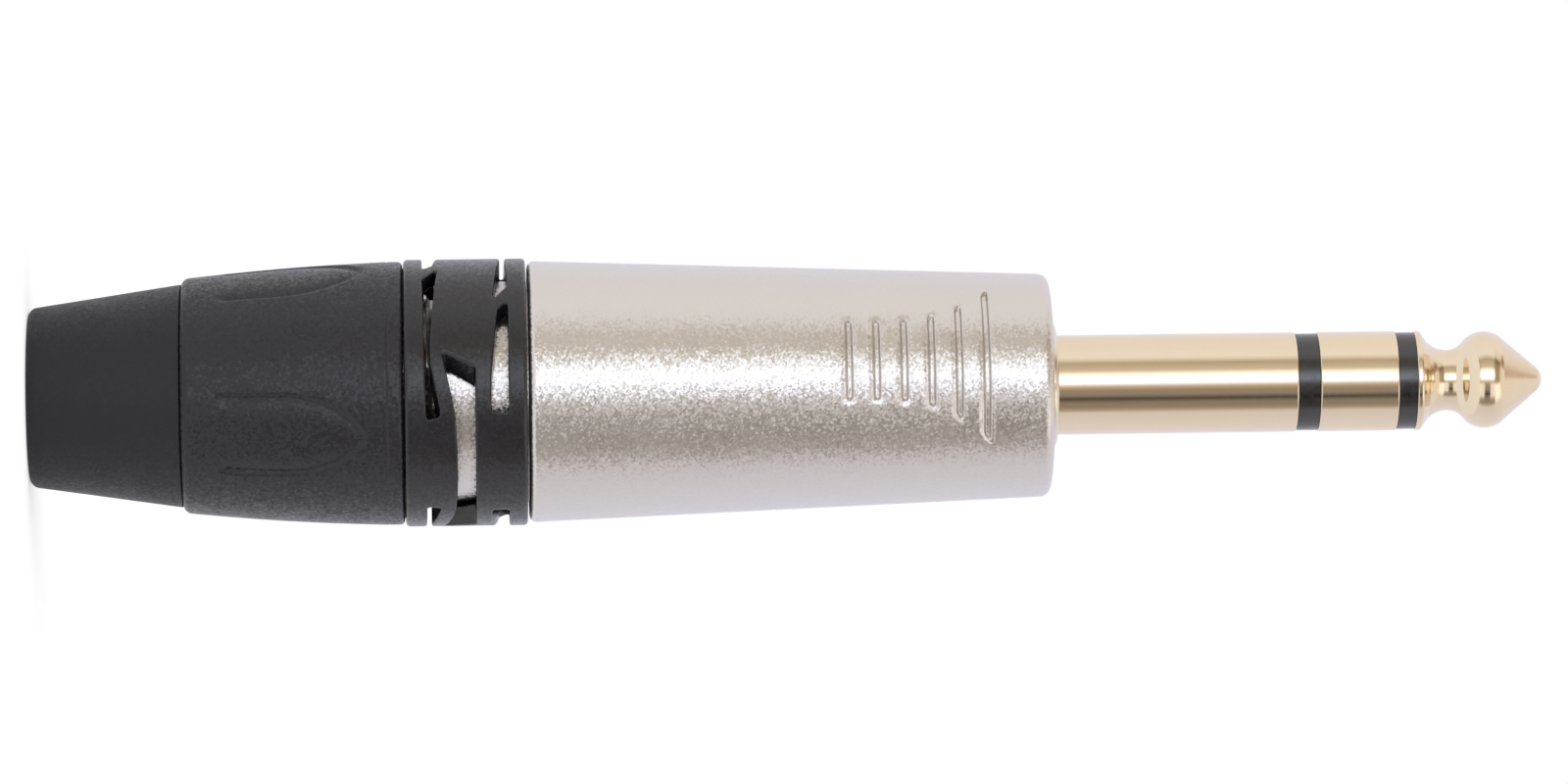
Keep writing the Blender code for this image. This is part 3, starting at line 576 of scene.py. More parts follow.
def outline_distance(places, outline):
    """Distance of each place from an outline, negative inside it."""
    nearest = np.full(len(places), np.inf)
    inside = np.zeros(len(places), bool)
    for start, end in zip(outline, np.roll(outline, -1, axis=0)):
        run = end - start
        away = places - start
        share = np.clip(away @ run / (run @ run), 0, 1)
        gap = away - share[:, None] * run
        nearest = np.minimum(nearest, (gap * gap).sum(axis=1))
        crosses = (start[1] > places[:, 1]) != (end[1] > places[:, 1])
        if start[1] != end[1]:
            reach = start[0] + (places[:, 1] - start[1]) * run[0] / run[1]
            inside ^= crosses & (places[:, 0] < reach)
    return np.where(inside, -1, 1) * np.sqrt(nearest)


def rounded_box(a, b, edge):
    """Distance from a corner whose two sides are at 0 in a and in b, with a round edge."""
    a, b = a + edge, b + edge
    outside = np.hypot(np.maximum(a, 0), np.maximum(b, 0))
    return outside + np.minimum(np.maximum(a, b), 0) - edge


def collar_distance(points, outlines):
    """Distance of each point, in mm, from the collar's surface, negative in the material."""
    middle = (COLLAR_REAR + COLLAR_FRONT) / 2 / MM
    half_height = (COLLAR_FRONT - COLLAR_REAR) / 2 / MM
    wall_middle = (COLLAR_RADIUS + COLLAR_BORE) / 2 / MM
    half_wall = (COLLAR_RADIUS - COLLAR_BORE) / 2 / MM
    across = np.array(direction(MOULD_ANGLE + 90))
    radial = np.abs(np.hypot(points[:, 0], points[:, 1]) - wall_middle) - half_wall
    axial = np.abs(points[:, 2] - middle) - half_height
    ring = rounded_box(radial, axial, COLLAR_EDGE / MM)
    places = np.stack([points[:, 2] - middle, points @ across], axis=1)
    window = np.full(len(points), np.inf)
    for outline in outlines:
        for side in (1, -1):
            window = np.minimum(window, outline_distance(places * side, outline))
    return rounded_box(ring, -window, WINDOW_EDGE)


def collar_slopes(points, outlines):
    """Distance from the collar's surface, and the direction that leads away from it."""
    here = collar_distance(points, outlines)
    slopes = np.stack([
        collar_distance(points + np.eye(3)[axis] * NUDGE, outlines) - here for axis in range(3)
    ], axis=1)
    return here, slopes / np.maximum(np.linalg.norm(slopes, axis=1, keepdims=True), 1e-9)


def plain_collar():
    """The ring with its windows cut straight through, remeshed evenly, as points and faces in mm."""
    corners = ((COLLAR_BORE, COLLAR_REAR), (COLLAR_RADIUS, COLLAR_REAR),
               (COLLAR_RADIUS, COLLAR_FRONT), (COLLAR_BORE, COLLAR_FRONT))
    radius, height = np.array(corners).T / MM
    ring = skin("collar_blank", *spun(radius, height, all_round(WIDE_SIDES)))
    pull = direction(MOULD_ANGLE) * COLLAR_RADIUS / MM * CUTTER_REACH
    across = direction(MOULD_ANGLE + 90)
    middle = (COLLAR_REAR + COLLAR_FRONT) / 2 / MM
    bm = bmesh.new()
    for window in WINDOWS:
        for side in (1, -1):
            places = [across * u * side + Vector((0, 0, middle + z * side)) for z, u in window]
            add_prism(bm, [place - pull for place in places], [place + pull for place in places])
    cutter = cut_out(ring, "windows", bm, cuts_itself=True)
    even = ring.modifiers.new("even", "REMESH")
    even.mode = "VOXEL"
    even.voxel_size = COLLAR_GRID
    mesh = modified_mesh(ring)
    points = np.zeros(len(mesh.vertices) * 3)
    mesh.vertices.foreach_get("co", points)
    faces = np.array([face.vertices[:] for face in mesh.polygons])
    for obj in (ring, cutter):
        bpy.data.objects.remove(obj)
    bpy.data.meshes.remove(mesh)
    return points.reshape(-1, 3), faces


def make_collar_ring(plastic):
    """The openwork ring, its windows' rims slightly rounded."""
    outlines = [window_outline(corners) for corners in WINDOWS]
    points, faces = plain_collar()
    for _ in range(SETTLING_ROUNDS):
        gap, away = collar_slopes(points, outlines)
        points = points - gap[:, None] * away
    _, away = collar_slopes(points, outlines)
    collar = skin("collar_ring_skin", points * MM, faces, sharp=180.0)
    if len(collar.data.vertices) == len(away):
        collar.data.normals_split_custom_set_from_vertices(away.tolist())
    return dress(collar, plastic, "shell", "satin_plastic", "collar_ring")


# Shell and nose bush


def shell_radius(height):
    """Outer radius of the shell's taper."""
    share = (height - SHELL_REAR) / (SHELL_FRONT - SHELL_REAR)
    return SHELL_REAR_RADIUS + (SHELL_FRONT_RADIUS - SHELL_REAR_RADIUS) * share


def grip_centre(k):
    """Height of a grip mark's middle."""
    return SHELL_FRONT - GRIP_LAST_FROM_FRONT - GRIP_PITCH * (GRIP_COUNT - 1 - k)


def grip_depth(angles, heights):
    """How far the shell's skin sinks in the grip marks of both sides."""
    order = (heights - grip_centre(0)) / GRIP_PITCH
    nearest = np.clip(np.round(order), 0, GRIP_COUNT - 1)
    along = np.abs(order - nearest) * GRIP_PITCH
    share = np.clip(order, 0, None) / (GRIP_COUNT - 1)
    half = GRIP_HALF_ANGLE + GRIP_FLARE * share**GRIP_FLARE_POWER
    aside = np.abs((angles - GRIP_CENTRE + 90) % 180 - 90)
    inward = np.radians(half[:, None] - aside[None, :]) * shell_radius(heights)[:, None]
    past_end = np.maximum(GRIP_HALF_WIDTH - inward, 0)
    away = np.hypot(np.broadcast_to(along[:, None], past_end.shape), past_end)
    mark = 1 - smooth(GRIP_FLOOR, GRIP_HALF_WIDTH, away)
    return GRIP_DEPTH * mark + HALO_DEPTH * (1 - smooth(GRIP_HALF_WIDTH, HALO_WIDTH, away))


def shell_columns():
    """Angles of the shell's columns, closer together where the grip marks end."""
    half = np.concatenate([np.arange(*span) for span in SHELL_COLUMNS]) + GRIP_CENTRE
    return np.concatenate([half, half + 180])


def grip_rows():
    """Heights of the shell's rows across all grip marks."""
    offsets = np.concatenate([np.arange(*span) for span in GRIP_ROWS]) * MM
    offsets = np.concatenate([-offsets[:0:-1], offsets])
    return np.concatenate([grip_centre(k) + offsets for k in range(GRIP_COUNT)])


def shell_outline(shoulder):
    """Outline of the shell, from the collar's seat round the front and the inside to the neck."""
    return arcs((
        (NECK_RADIUS, SHELL_REAR, 0),
        (SHELL_REAR_RADIUS, SHELL_REAR, SHELL_REAR_EDGE),
        (SHELL_FRONT_RADIUS, SHELL_FRONT, SHELL_FRONT_EDGE),
        (BOSS_RADIUS + HAIR * 2, SHELL_FRONT, PIN_EDGE),
        (BOSS_RADIUS + HAIR * 2, SHELL_FRONT - FRONT_WALL, 0),
        (CHAMBER_RADIUS, SHELL_FRONT - FRONT_WALL, 0),
        (CHAMBER_RADIUS, SHELL_REAR + CHAMBER_FROM_REAR, 0),
        (NECK_BORE, SHELL_REAR + CHAMBER_FROM_REAR, 0),
        (NECK_BORE, NECK_LOW, PIN_EDGE),
        (THREAD_CORE, NECK_LOW, PIN_EDGE),
        (THREAD_CORE, shoulder, 0),
        (NECK_RADIUS, shoulder, PIN_EDGE),
    ))


def paint_shade_on_grip_walls(shell, painted_shade_nickel, marks):
    """Paint shade on the steep walls of the grip marks: they get a darker, duller nickel."""
    faces = shell.data.polygons
    centres = np.empty(3 * len(faces))
    faces.foreach_get("center", centres)
    x, y, z = centres.reshape(-1, 3).T
    sunk = (shell_radius(z) - np.hypot(x, y) - HALO_DEPTH) / GRIP_DEPTH
    # Faces sunk between these shares of a mark's depth take the nickel with painted shade
    walls = (z > marks.min()) & (z < marks.max()) & (sunk > PAINTED_SHADE_DEPTHS[0]) & (sunk < PAINTED_SHADE_DEPTHS[1])
    shell.data.materials.append(painted_shade_nickel)
    faces.foreach_set("material_index", walls.astype(np.int32))


def cut_key_slots(shell):
    """The two slots in the neck that keep the chuck from turning."""
    near, far = NECK_BORE - FIT, THREAD_CORE + MM
    bm = bmesh.new()
    for angle in (0, 180):
        out = direction(angle)
        side = direction(angle + 90) * KEY_SLOT_WIDTH / 2
        corners = [out * near - side, out * far - side, out * far + side, out * near + side]
        ends_of_slot = [Vector((0, 0, z)) for z in (NECK_LOW - MM, KEY_SLOT_HIGH)]
        add_prism(bm, *([corner + end for corner in corners] for end in ends_of_slot))
    cutter = cut_out(shell, "key_slots", bm)
    mesh = modified_mesh(shell)
    shell.modifiers.clear()
    shell.data = mesh
    mesh.set_sharp_from_angle(angle=math.radians(SHELL_CREASE))
    bpy.data.objects.remove(cutter)


def make_shell_housing(nickel, painted_shade_nickel):
    """The satin shell with its grip marks, its neck and the neck's thread."""
    angles = shell_columns()
    shoulder = NUT_HIGH + NECK_ABOVE_NUT
    outline = shell_outline(shoulder)
    marks = grip_rows()
    fine = np.concatenate([np.arange(SHELL_REAR + SHELL_ROW, marks.min() - MM, SHELL_ROW), marks])
    gripped = shell_radius(fine)[:, None] - grip_depth(angles, fine)
    low, high = NECK_LOW + PIN_EDGE, shoulder - PIN_EDGE
    rows = np.arange(low + 2 * SUPPORT, high, THREAD_ROW)
    threaded = THREAD_CORE + THREAD_HEIGHT * thread_height(angles, rows, low, high)
    wide = full_grid(outline[:, 0], len(angles))
    front = int(np.argmax(outline[:, 1] > marks.max()))
    neck = int(np.flatnonzero(outline[:, 1] < low + 2 * SUPPORT)[-1]) + 1
    radius = np.concatenate([wide[:front], gripped, wide[front:neck], threaded, wide[neck:]])
    height = np.concatenate([outline[:front, 1], fine, outline[front:neck, 1], rows, outline[neck:, 1]])
    shell = skin("shell_housing_skin", *spun(radius, height, angles), sharp=SHELL_CREASE)
    cut_key_slots(shell)
    dress(shell, nickel, "shell", "satin_nickel", "shell_housing")
    paint_shade_on_grip_walls(shell, painted_shade_nickel, marks)
    return shell


def make_nose_bush(nickel):
    """The bright bush round the pin, just proud of the shell."""
    bore = PIN_RADIUS + HAIR
    shelf = SHELL_FRONT - FRONT_WALL - FIT
    outline = (
        (bore, BUSH_LOW, 0),
        (CHAMBER_RADIUS - FIT, BUSH_LOW, 0),
        (CHAMBER_RADIUS - FIT, shelf, 0),
        (BOSS_RADIUS, shelf, 0),
        (BOSS_RADIUS, BOSS_FACE, BOSS_EDGE),
        (bore, BOSS_FACE, PIN_EDGE),
    )
    return turned_piece("nose_bush", outline, PIN_SIDES, nickel, "shell", "bright_nickel")


# Contact pin


def make_sleeve_contact(gold):
    """The long contact, with the flange that holds the pin in the shell."""
    flange_low = FLANGE_SEAT + FIT
    flange_high = flange_low + FLANGE_WIDTH
    outline = (
        (SLEEVE_BORE, SLEEVE_LOW, 0),
        (PIN_RADIUS, SLEEVE_LOW, 0),
        (PIN_RADIUS, flange_low, 0),
        (FLANGE_RADIUS, flange_low, PIN_EDGE),
        (FLANGE_RADIUS, flange_high, PIN_EDGE),
        (PIN_RADIUS, flange_high, 0),
        (PIN_RADIUS, SLEEVE_FRONT, PIN_EDGE),
        (SLEEVE_BORE, SLEEVE_FRONT, 0),
    )
    return turned_piece("sleeve_contact", outline, PIN_SIDES, gold, "shell", "gold")


def make_ring_contact(gold):
    """The ring and the tube that carries it back inside the sleeve."""
    outline = (
        (RING_TUBE_BORE, RING_TUBE_LOW, 0),
        (RING_TUBE_RADIUS, RING_TUBE_LOW, 0),
        (RING_TUBE_RADIUS, RING_LOW, 0),
        (PIN_RADIUS, RING_LOW, PIN_EDGE),
        (PIN_RADIUS, RING_HIGH, PIN_EDGE),
        (RING_TUBE_BORE, RING_HIGH, 0),
    )
    return turned_piece("ring_contact", outline, PIN_SIDES, gold, "shell", "gold")


def make_insulator(node, bore, low, high, black):
    """A black ring that fills the room between two contacts."""
    low, high = low + HAIR, high - HAIR
    outline = ((bore, low, 0), (INSULATOR_RADIUS, low, 0), (INSULATOR_RADIUS, high, 0), (bore, high, 0))
    return turned_piece(node, outline, PIN_SIDES, black, "shell", "black_insulator")


def make_ring_insulator(black):
    """The ring between sleeve and ring contact, round the ring's tube."""
    return make_insulator("ring_insulator", RING_TUBE_RADIUS + LINER_ROOM, SLEEVE_FRONT, RING_LOW, black)


def make_tip_insulator(black):
    """The ring between ring contact and tip, round the tip's rod."""
    return make_insulator("tip_insulator", ROD_RADIUS + LINER_ROOM, RING_HIGH, TIP_BASE, black)


def arc(centre_r, centre_z, radius, start, end):
    """Points of an arc in the plane of radius and height, angles in degrees from outward."""
    steps = max(3, math.ceil(abs(end - start) / (ARC_STEP / 2)))
    swing = np.radians(np.linspace(start, end, steps + 1))
    return [(centre_r + radius * math.cos(a), centre_z + radius * math.sin(a)) for a in swing]


def tip_profile():
    """Outer line of the tip: flange, waist, bulge, the crisp edge of the cone, and the nose."""
    points = [(PIN_RADIUS - SUPPORT, TIP_BASE), (PIN_RADIUS, TIP_BASE + SUPPORT)]
    points += arc(PIN_RADIUS - TIP_RIM_EDGE, TIP_BASE + TIP_RIM_WIDTH, TIP_RIM_EDGE, 0, TIP_RIM_SLOPE)
    rim_radius, rim_height = points[-1]
    slope = math.tan(math.radians(TIP_RIM_SLOPE))
    points.append((NECK_SHOULDER_RADIUS, rim_height + (rim_radius - NECK_SHOULDER_RADIUS) / slope))
    bulge = NOSE - BULGE_FROM_NOSE
    bulge_centre = (BULGE_RADIUS - BULGE_ARC, bulge)
    aside = WAIST_RADIUS + WAIST_ARC - bulge_centre[0]
    waist = bulge - math.sqrt((WAIST_ARC + BULGE_ARC) ** 2 - aside**2)
    waist_centre = (WAIST_RADIUS + WAIST_ARC, waist)
    start = math.degrees(math.acos(1 - (NECK_FLARE_RADIUS - WAIST_RADIUS) / NECK_FLARE))
    points += arc(WAIST_RADIUS + NECK_FLARE, waist, NECK_FLARE, 180 + start, 180)
    lean = math.degrees(math.atan2(bulge - waist, aside))
    points += arc(*waist_centre, WAIST_ARC, 180, 180 - lean)[1:]
    cone = NOSE - CONE_FROM_NOSE
    points += arc(*bulge_centre, BULGE_ARC, -lean, 0)[1:]
    fall = BULGE_RADIUS - CONE_RADIUS - CONE_STEP
    front_arc = ((cone - bulge) ** 2 + fall**2) / (2 * fall)
    last = math.degrees(math.asin((cone - bulge) / front_arc))
    points += arc(BULGE_RADIUS - front_arc, bulge, front_arc, 0, last)[1:]
    points.append((CONE_RADIUS, cone + SUPPORT / 2))
    centre = NOSE - NOSE_ARC
    apart = math.hypot(CONE_RADIUS, cone - centre)
    touch = math.atan2(cone - centre, CONE_RADIUS) + math.acos(NOSE_ARC / apart)
    points += arc(0, centre, NOSE_ARC, math.degrees(touch), 90)
    points[-1] = (0.0, NOSE)
    return points


def make_tip_contact(gold, turned_gold):
    """The tip and the rod that carries it back through the whole pin."""
    outline = [(0.0, ROD_LOW), (ROD_RADIUS - SUPPORT, ROD_LOW), (ROD_RADIUS, ROD_LOW + SUPPORT)]
    outline += [(ROD_RADIUS, TIP_BASE), (ROD_RADIUS + SUPPORT, TIP_BASE)] + tip_profile()
    outline = np.array(outline)
    points, faces = spun(outline[:, 0], outline[:, 1], all_round(PIN_SIDES), closed=False)
    tip = skin("tip_contact_skin", points, faces, sharp=10.0)
    dress(tip, gold, "shell", "gold", "tip_contact")
    tip.data.materials.append(turned_gold)
    for face in tip.data.polygons:
        if face.center.z > NOSE - CONE_FROM_NOSE:
            face.material_index = 1
    return tip


# Node groups that several finishes share


def feed(tree, node, inputs):
    """Set inputs of a node by label or order, each to a value or to the socket that it takes."""
    for label, value in inputs.items():
        if isinstance(value, bpy.types.NodeSocket):
            tree.links.new(value, node.inputs[label])
        else:
            node.inputs[label].default_value = value


def add(tree, kind, place, inputs=None, **settings):
    """A shader node at a place in the tree, with its settings and its inputs."""
    node = tree.nodes.new("ShaderNode" + kind)
    node.location = (place[0] * NODE_APART[0], place[1] * NODE_APART[1])
    for key, value in settings.items():
        setattr(node, key, value)
    feed(tree, node, inputs or {})
    return node


def maths(tree, place, operation, *values, kind="Math"):
    """What an operation makes of values or sockets, as a socket."""
    return add(tree, kind, place, dict(enumerate(values)), operation=operation).outputs[0]


def scaled(tree, place, vector, scale):
    """A vector times a number, as a socket."""
    return add(tree, "VectorMath", place, {0: vector, "Scale": scale}, operation="SCALE").outputs[0]


def mixed(tree, place, share, first, second):
    """A colour mixed from two by a share, as a socket."""
    inputs = {"Factor": share, "A": first, "B": second}
    return add(tree, "Mix", place, inputs, data_type="RGBA").outputs["Result"]


def start_group(name, inputs, outputs):
    """A node group with named sockets, and its two end nodes."""
    tree = bpy.data.node_groups.new(name, "ShaderNodeTree")
    for label, value in inputs.items():
        socket = tree.interface.new_socket(label, in_out="INPUT", socket_type="NodeSocketFloat")
        socket.default_value = value
    for label, kind in outputs.items():
        tree.interface.new_socket(label, in_out="OUTPUT", socket_type=kind)
    given, out = (tree.nodes.new(kind) for kind in ("NodeGroupInput", "NodeGroupOutput"))
    given.location.x, out.location.x = -4 * NODE_APART[0], 4 * NODE_APART[0]
    return tree, given, out


def place_in_mm(tree, given):
    """The surface point divided by a size in mm, as a socket."""
    point = add(tree, "TexCoord", (-4, -1)).outputs["Object"]
    return scaled(tree, (-2, 0), point, maths(tree, (-3, 1), "DIVIDE", 1 / MM, given))


def grain_group():
    """Fine even grain: a height, and a value that varies from patch to patch."""
    tree, given, out = start_group(
        "fine grain", {"Grain Size": 0.15, "Patch Size": 3.0},
        {"Height": "NodeSocketFloat", "Patch": "NodeSocketFloat"},
    )
    fine, broad = (place_in_mm(tree, given.outputs[label]) for label in ("Grain Size", "Patch Size"))
    grain = add(tree, "TexNoise", (0, 0), {"Vector": fine, "Scale": 1, "Detail": 1, "Roughness": 0.55})
    patch = add(tree, "TexNoise", (0, 2), {"Vector": broad, "Scale": 1, "Detail": 3})
    feed(tree, out, {"Height": grain.outputs[0], "Patch": patch.outputs[0]})
    return tree


def turning_group():
    """Fine rings left by the lathe, which follow height and radius."""
    tree, given, out = start_group("turning marks", {"Spacing": 0.05}, {"Height": "NodeSocketFloat"})
    place = place_in_mm(tree, given.outputs["Spacing"])
    x, y, z = add(tree, "SeparateXYZ", (-1, 0), {0: place}).outputs
    flat = add(tree, "CombineXYZ", (0, 1), {"X": x, "Y": y})
    radius = add(tree, "VectorMath", (1, 1), {0: flat.outputs[0]}, operation="LENGTH")
    rings = add(tree, "CombineXYZ", (2, 0), {"X": radius.outputs["Value"], "Z": z})
    noise = add(tree, "TexNoise", (3, 0), {"Vector": rings.outputs[0], "Scale": 1, "Detail": 2})
    feed(tree, out, {"Height": noise.outputs[0]})
    return tree


def facet_group():
    """Facets of a blasted surface: a normal that leans another way in every small cell."""
    tree, given, out = start_group(
        "blasted facets", {"Facet Size": 0.15, "Lean": 0.2}, {"Normal": "NodeSocketVector"},
    )
    place = place_in_mm(tree, given.outputs["Facet Size"])
    cells = add(tree, "TexVoronoi", (-1, 0), {"Vector": place, "Scale": 1}).outputs["Color"]
    centred = maths(tree, (0, 0), "SUBTRACT", cells, (0.5, 0.5, 0.5), kind="VectorMath")
    leaning = scaled(tree, (1, 0), centred, given.outputs["Lean"])
    normal = add(tree, "NewGeometry", (1, 2)).outputs["Normal"]
    turned_aside = maths(tree, (2, 0), "ADD", normal, leaning, kind="VectorMath")
    feed(tree, out, {"Normal": maths(tree, (3, 0), "NORMALIZE", turned_aside, kind="VectorMath")})
    return tree


# Finishes


def labelled(values):
    """Inputs by label, from names with _ for the spaces in their labels."""
    return {name.replace("_", " "): value for name, value in values.items()}


def start_finish(name, colour, roughness, **plain):
    """A material and its shader, with the values that are the same all over it."""
    material = bpy.data.materials.new(name)
    material.use_nodes = True
    tree = material.node_tree
    shader = tree.nodes["Principled BSDF"]
    feed(tree, shader, {"Base Color": (*colour, 1), "Roughness": roughness, **labelled(plain)})
    return material, tree, shader


def use_group(tree, group, place, **values):
    """The outputs of a shared group in a material, with this material's values."""
    return add(tree, "Group", place, labelled(values), node_tree=group).outputs


def tint(tree, shader, mask, dark, light):
    """Vary the shader's colour between two by a mask."""
    feed(tree, shader, {"Base Color": mixed(tree, (-2, -1), mask, (*dark, 1), (*light, 1))})


def vary(tree, shader, mask, low, high):
    """Vary the shader's roughness between two by a mask."""
    inputs = {"From Min": MASK_LOW, "From Max": MASK_HIGH, "To Min": low, "To Max": high}
    span = add(tree, "MapRange", (-2, 1), {"Value": mask, **inputs})
    feed(tree, shader, {"Roughness": span.outputs["Result"]})


def bumps(tree, shader, *layers, under=None):
    """Chain (height, strength, distance in mm) layers of bump over a normal, into the shader."""
    last = under
    for i, (height, strength, distance) in enumerate(layers):
        inputs = {"Height": height, "Strength": strength, "Distance": distance * MM}
        bump = add(tree, "Bump", (-2, 3 + i), inputs)
        if last:
            feed(tree, bump, {"Normal": last})
        last = bump.outputs["Normal"]
    feed(tree, shader, {"Normal": last})


def grained(groups, name, tints, rough, sizes=(0.2, 1.0), relief=(0.3, 0.01), facets=None, **plain):
    """A material with fine grain, whose patches vary colour and roughness, over facets if it has any."""
    material, tree, shader = start_finish(name, tints[1], rough[1], **plain)
    fine = use_group(tree, groups["grain"], (-5, 0), Grain_Size=sizes[0], Patch_Size=sizes[1])
    tint(tree, shader, fine["Patch"], *tints)
    vary(tree, shader, fine["Patch"], *rough)
    blasted = None
    if facets:
        cells = use_group(tree, groups["facets"], (-5, 3), Facet_Size=facets[0], Lean=facets[1])
        blasted = cells["Normal"]
    bumps(tree, shader, (fine["Height"], *relief), under=blasted)
    return material


def lathed(groups, name, tints, rough, sizes, spacing, reliefs, mask=None, **plain):
    """A material with turning marks and fine grain; roughness follows the marks, or the grain's mask."""
    material, tree, shader = start_finish(name, tints[1], rough[1], **plain)
    rings = use_group(tree, groups["turning"], (-5, 0), Spacing=spacing)
    fine = use_group(tree, groups["grain"], (-5, 2), Grain_Size=sizes[0], Patch_Size=sizes[1])
    tint(tree, shader, fine["Patch"], *tints)
    vary(tree, shader, fine[mask] if mask else rings["Height"], *rough)
    bumps(tree, shader, (rings["Height"], *reliefs[0]), (fine["Height"], *reliefs[1]))
    return material


def make_rubber(groups):
    """Matte black rubber of the boot's soft end."""
    return grained(
        groups, "black rubber", tints=((0.0110, 0.0102, 0.0162), (0.0120, 0.0112, 0.0178)),
        rough=(0.43, 0.51), sizes=(0.06, 2.5), relief=(0.25, 0.006), facets=(0.17, 0.22),
        Specular_IOR_Level=0.45,
    )


def make_grained_plastic(groups):
    """Hard black plastic of the nut, with its moulded grain."""
    return grained(
        groups, "grained black plastic", tints=((0.0137, 0.0127, 0.0193), (0.0153, 0.0143, 0.0217)),
        rough=(0.29, 0.36), sizes=(0.19, 1.6), relief=(0.6, 0.02), facets=(0.17, 0.28),
    )


def make_satin_plastic(groups):
    """Black plastic of the collar, with a slight sheen over its grain."""
    return grained(
        groups, "satin black plastic", tints=((0.0078, 0.0073, 0.0105), (0.0092, 0.0087, 0.0125)),
        rough=(0.27, 0.34), sizes=(0.22, 1.2), relief=(0.6, 0.01), facets=(0.16, 0.2),
        Coat_Weight=0.35, Coat_Roughness=0.25,
    )


def make_satin_nickel(groups):
    """Satin nickel of the shell, which sparkles where the light just misses."""
    return grained(
        groups, "satin nickel", tints=((0.755, 0.72, 0.695), (0.775, 0.74, 0.715)),
        rough=(0.28, 0.32), sizes=(0.19, 4.0), relief=(0.5, 0.015), facets=(0.125, 0.19), Metallic=1.0,
    )


def make_painted_shade_nickel(groups):
    """Nickel with painted shade for the steep walls of the grip marks: darker, browner and duller than
    the shell's.
    """
    # Painted shade: tints well below the satin nickel's, so that the walls of the marks read dark
    dark, light = (0.56, 0.515, 0.47), (0.64, 0.595, 0.55)
    material, tree, shader = start_finish("nickel with painted shade in the grip walls", light, 0.38, Metallic=1.0)
    fine = use_group(tree, groups["grain"], (-5, 0), Grain_Size=0.2, Patch_Size=0.6)
    tint(tree, shader, fine["Patch"], dark, light)
    bumps(tree, shader, (fine["Height"], 0.4, 0.01))
    return material


def make_bright_nickel(groups):
    """Bright nickel of the bush and of the nut on the rod."""
    material, tree, shader = start_finish("bright nickel", (0.86, 0.79, 0.68), 0.14, Metallic=1.0)
    rings = use_group(tree, groups["turning"], (-5, 0), Spacing=0.06)
    vary(tree, shader, rings["Height"], 0.10, 0.18)
    bumps(tree, shader, (rings["Height"], 0.2, 0.004))
    return material


def make_gold(groups):
    """Polished gold of the contacts."""
    return lathed(
        groups, "polished gold", tints=((0.89, 0.75, 0.565), (0.91, 0.775, 0.60)),
        rough=(0.06, 0.11), sizes=(0.10, 1.5), spacing=0.05, reliefs=((0.15, 0.003), (0.15, 0.003)),
        Metallic=1.0,
    )


def make_turned_gold(groups):
    """Gold of the tip's cone, where the marks of turning show."""
    return lathed(
        groups, "turned gold", tints=((0.87, 0.72, 0.54), (0.92, 0.78, 0.61)),
        rough=(0.15, 0.24), sizes=(0.15, 1.0), spacing=0.05, reliefs=((0.3, 0.004), (0.3, 0.006)),
        Metallic=1.0,
    )


def make_black_insulator(groups):
    """Glossy black plastic between the contacts, blurred in patches."""
    return lathed(
        groups, "black insulator", tints=((0.008, 0.008, 0.009), (0.012, 0.012, 0.013)),
        rough=(0.02, 0.30), sizes=(0.25, 0.5), spacing=0.12, reliefs=((0.25, 0.006), (0.2, 0.006)),
        mask="Patch", Specular_IOR_Level=0.9, Coat_Weight=0.15, Coat_Roughness=0.06, Coat_IOR=1.8,
    )


def make_tinned_brass(groups):
    """Tinned brass of the solder tags."""
    return grained(
        groups, "tinned brass", tints=((0.72, 0.66, 0.55), (0.85, 0.82, 0.76)),
        rough=(0.22, 0.40), sizes=(0.3, 1.0), Metallic=1.0,
    )


def make_chuck_plastic(groups):
    """Natural plastic of the chuck."""
    return grained(
        groups, "natural chuck plastic", tints=((0.70, 0.69, 0.64), (0.78, 0.77, 0.73)),
        rough=(0.38, 0.50),
    )


def make_liner_plastic(groups):
    """Natural plastic of the tube in the shell."""
    return grained(
        groups, "natural liner plastic", tints=((0.66, 0.65, 0.61), (0.76, 0.75, 0.71)),
        rough=(0.42, 0.55),
    )


def make_fibre(groups):
    """Vulcanised fibre of the washers."""
    return grained(
        groups, "vulcanised fibre", tints=((0.26, 0.10, 0.05), (0.40, 0.18, 0.10)),
        rough=(0.60, 0.80),
    )


def make_finishes():
    """Every finish of the plug by name, from the groups that they share."""
    groups = {"grain": grain_group(), "turning": turning_group(), "facets": facet_group()}
    makers = {
        "rubber": make_rubber,
        "grained_plastic": make_grained_plastic,
        "satin_plastic": make_satin_plastic,
        "satin_nickel": make_satin_nickel,
        "painted_shade_nickel": make_painted_shade_nickel,
        "bright_nickel": make_bright_nickel,
        "gold": make_gold,
        "turned_gold": make_turned_gold,
        "black_insulator": make_black_insulator,
        "tinned_brass": make_tinned_brass,
        "chuck_plastic": make_chuck_plastic,
        "liner_plastic": make_liner_plastic,
        "fibre": make_fibre,
    }
    return {name: make(groups) for name, make in makers.items()}


# Studio

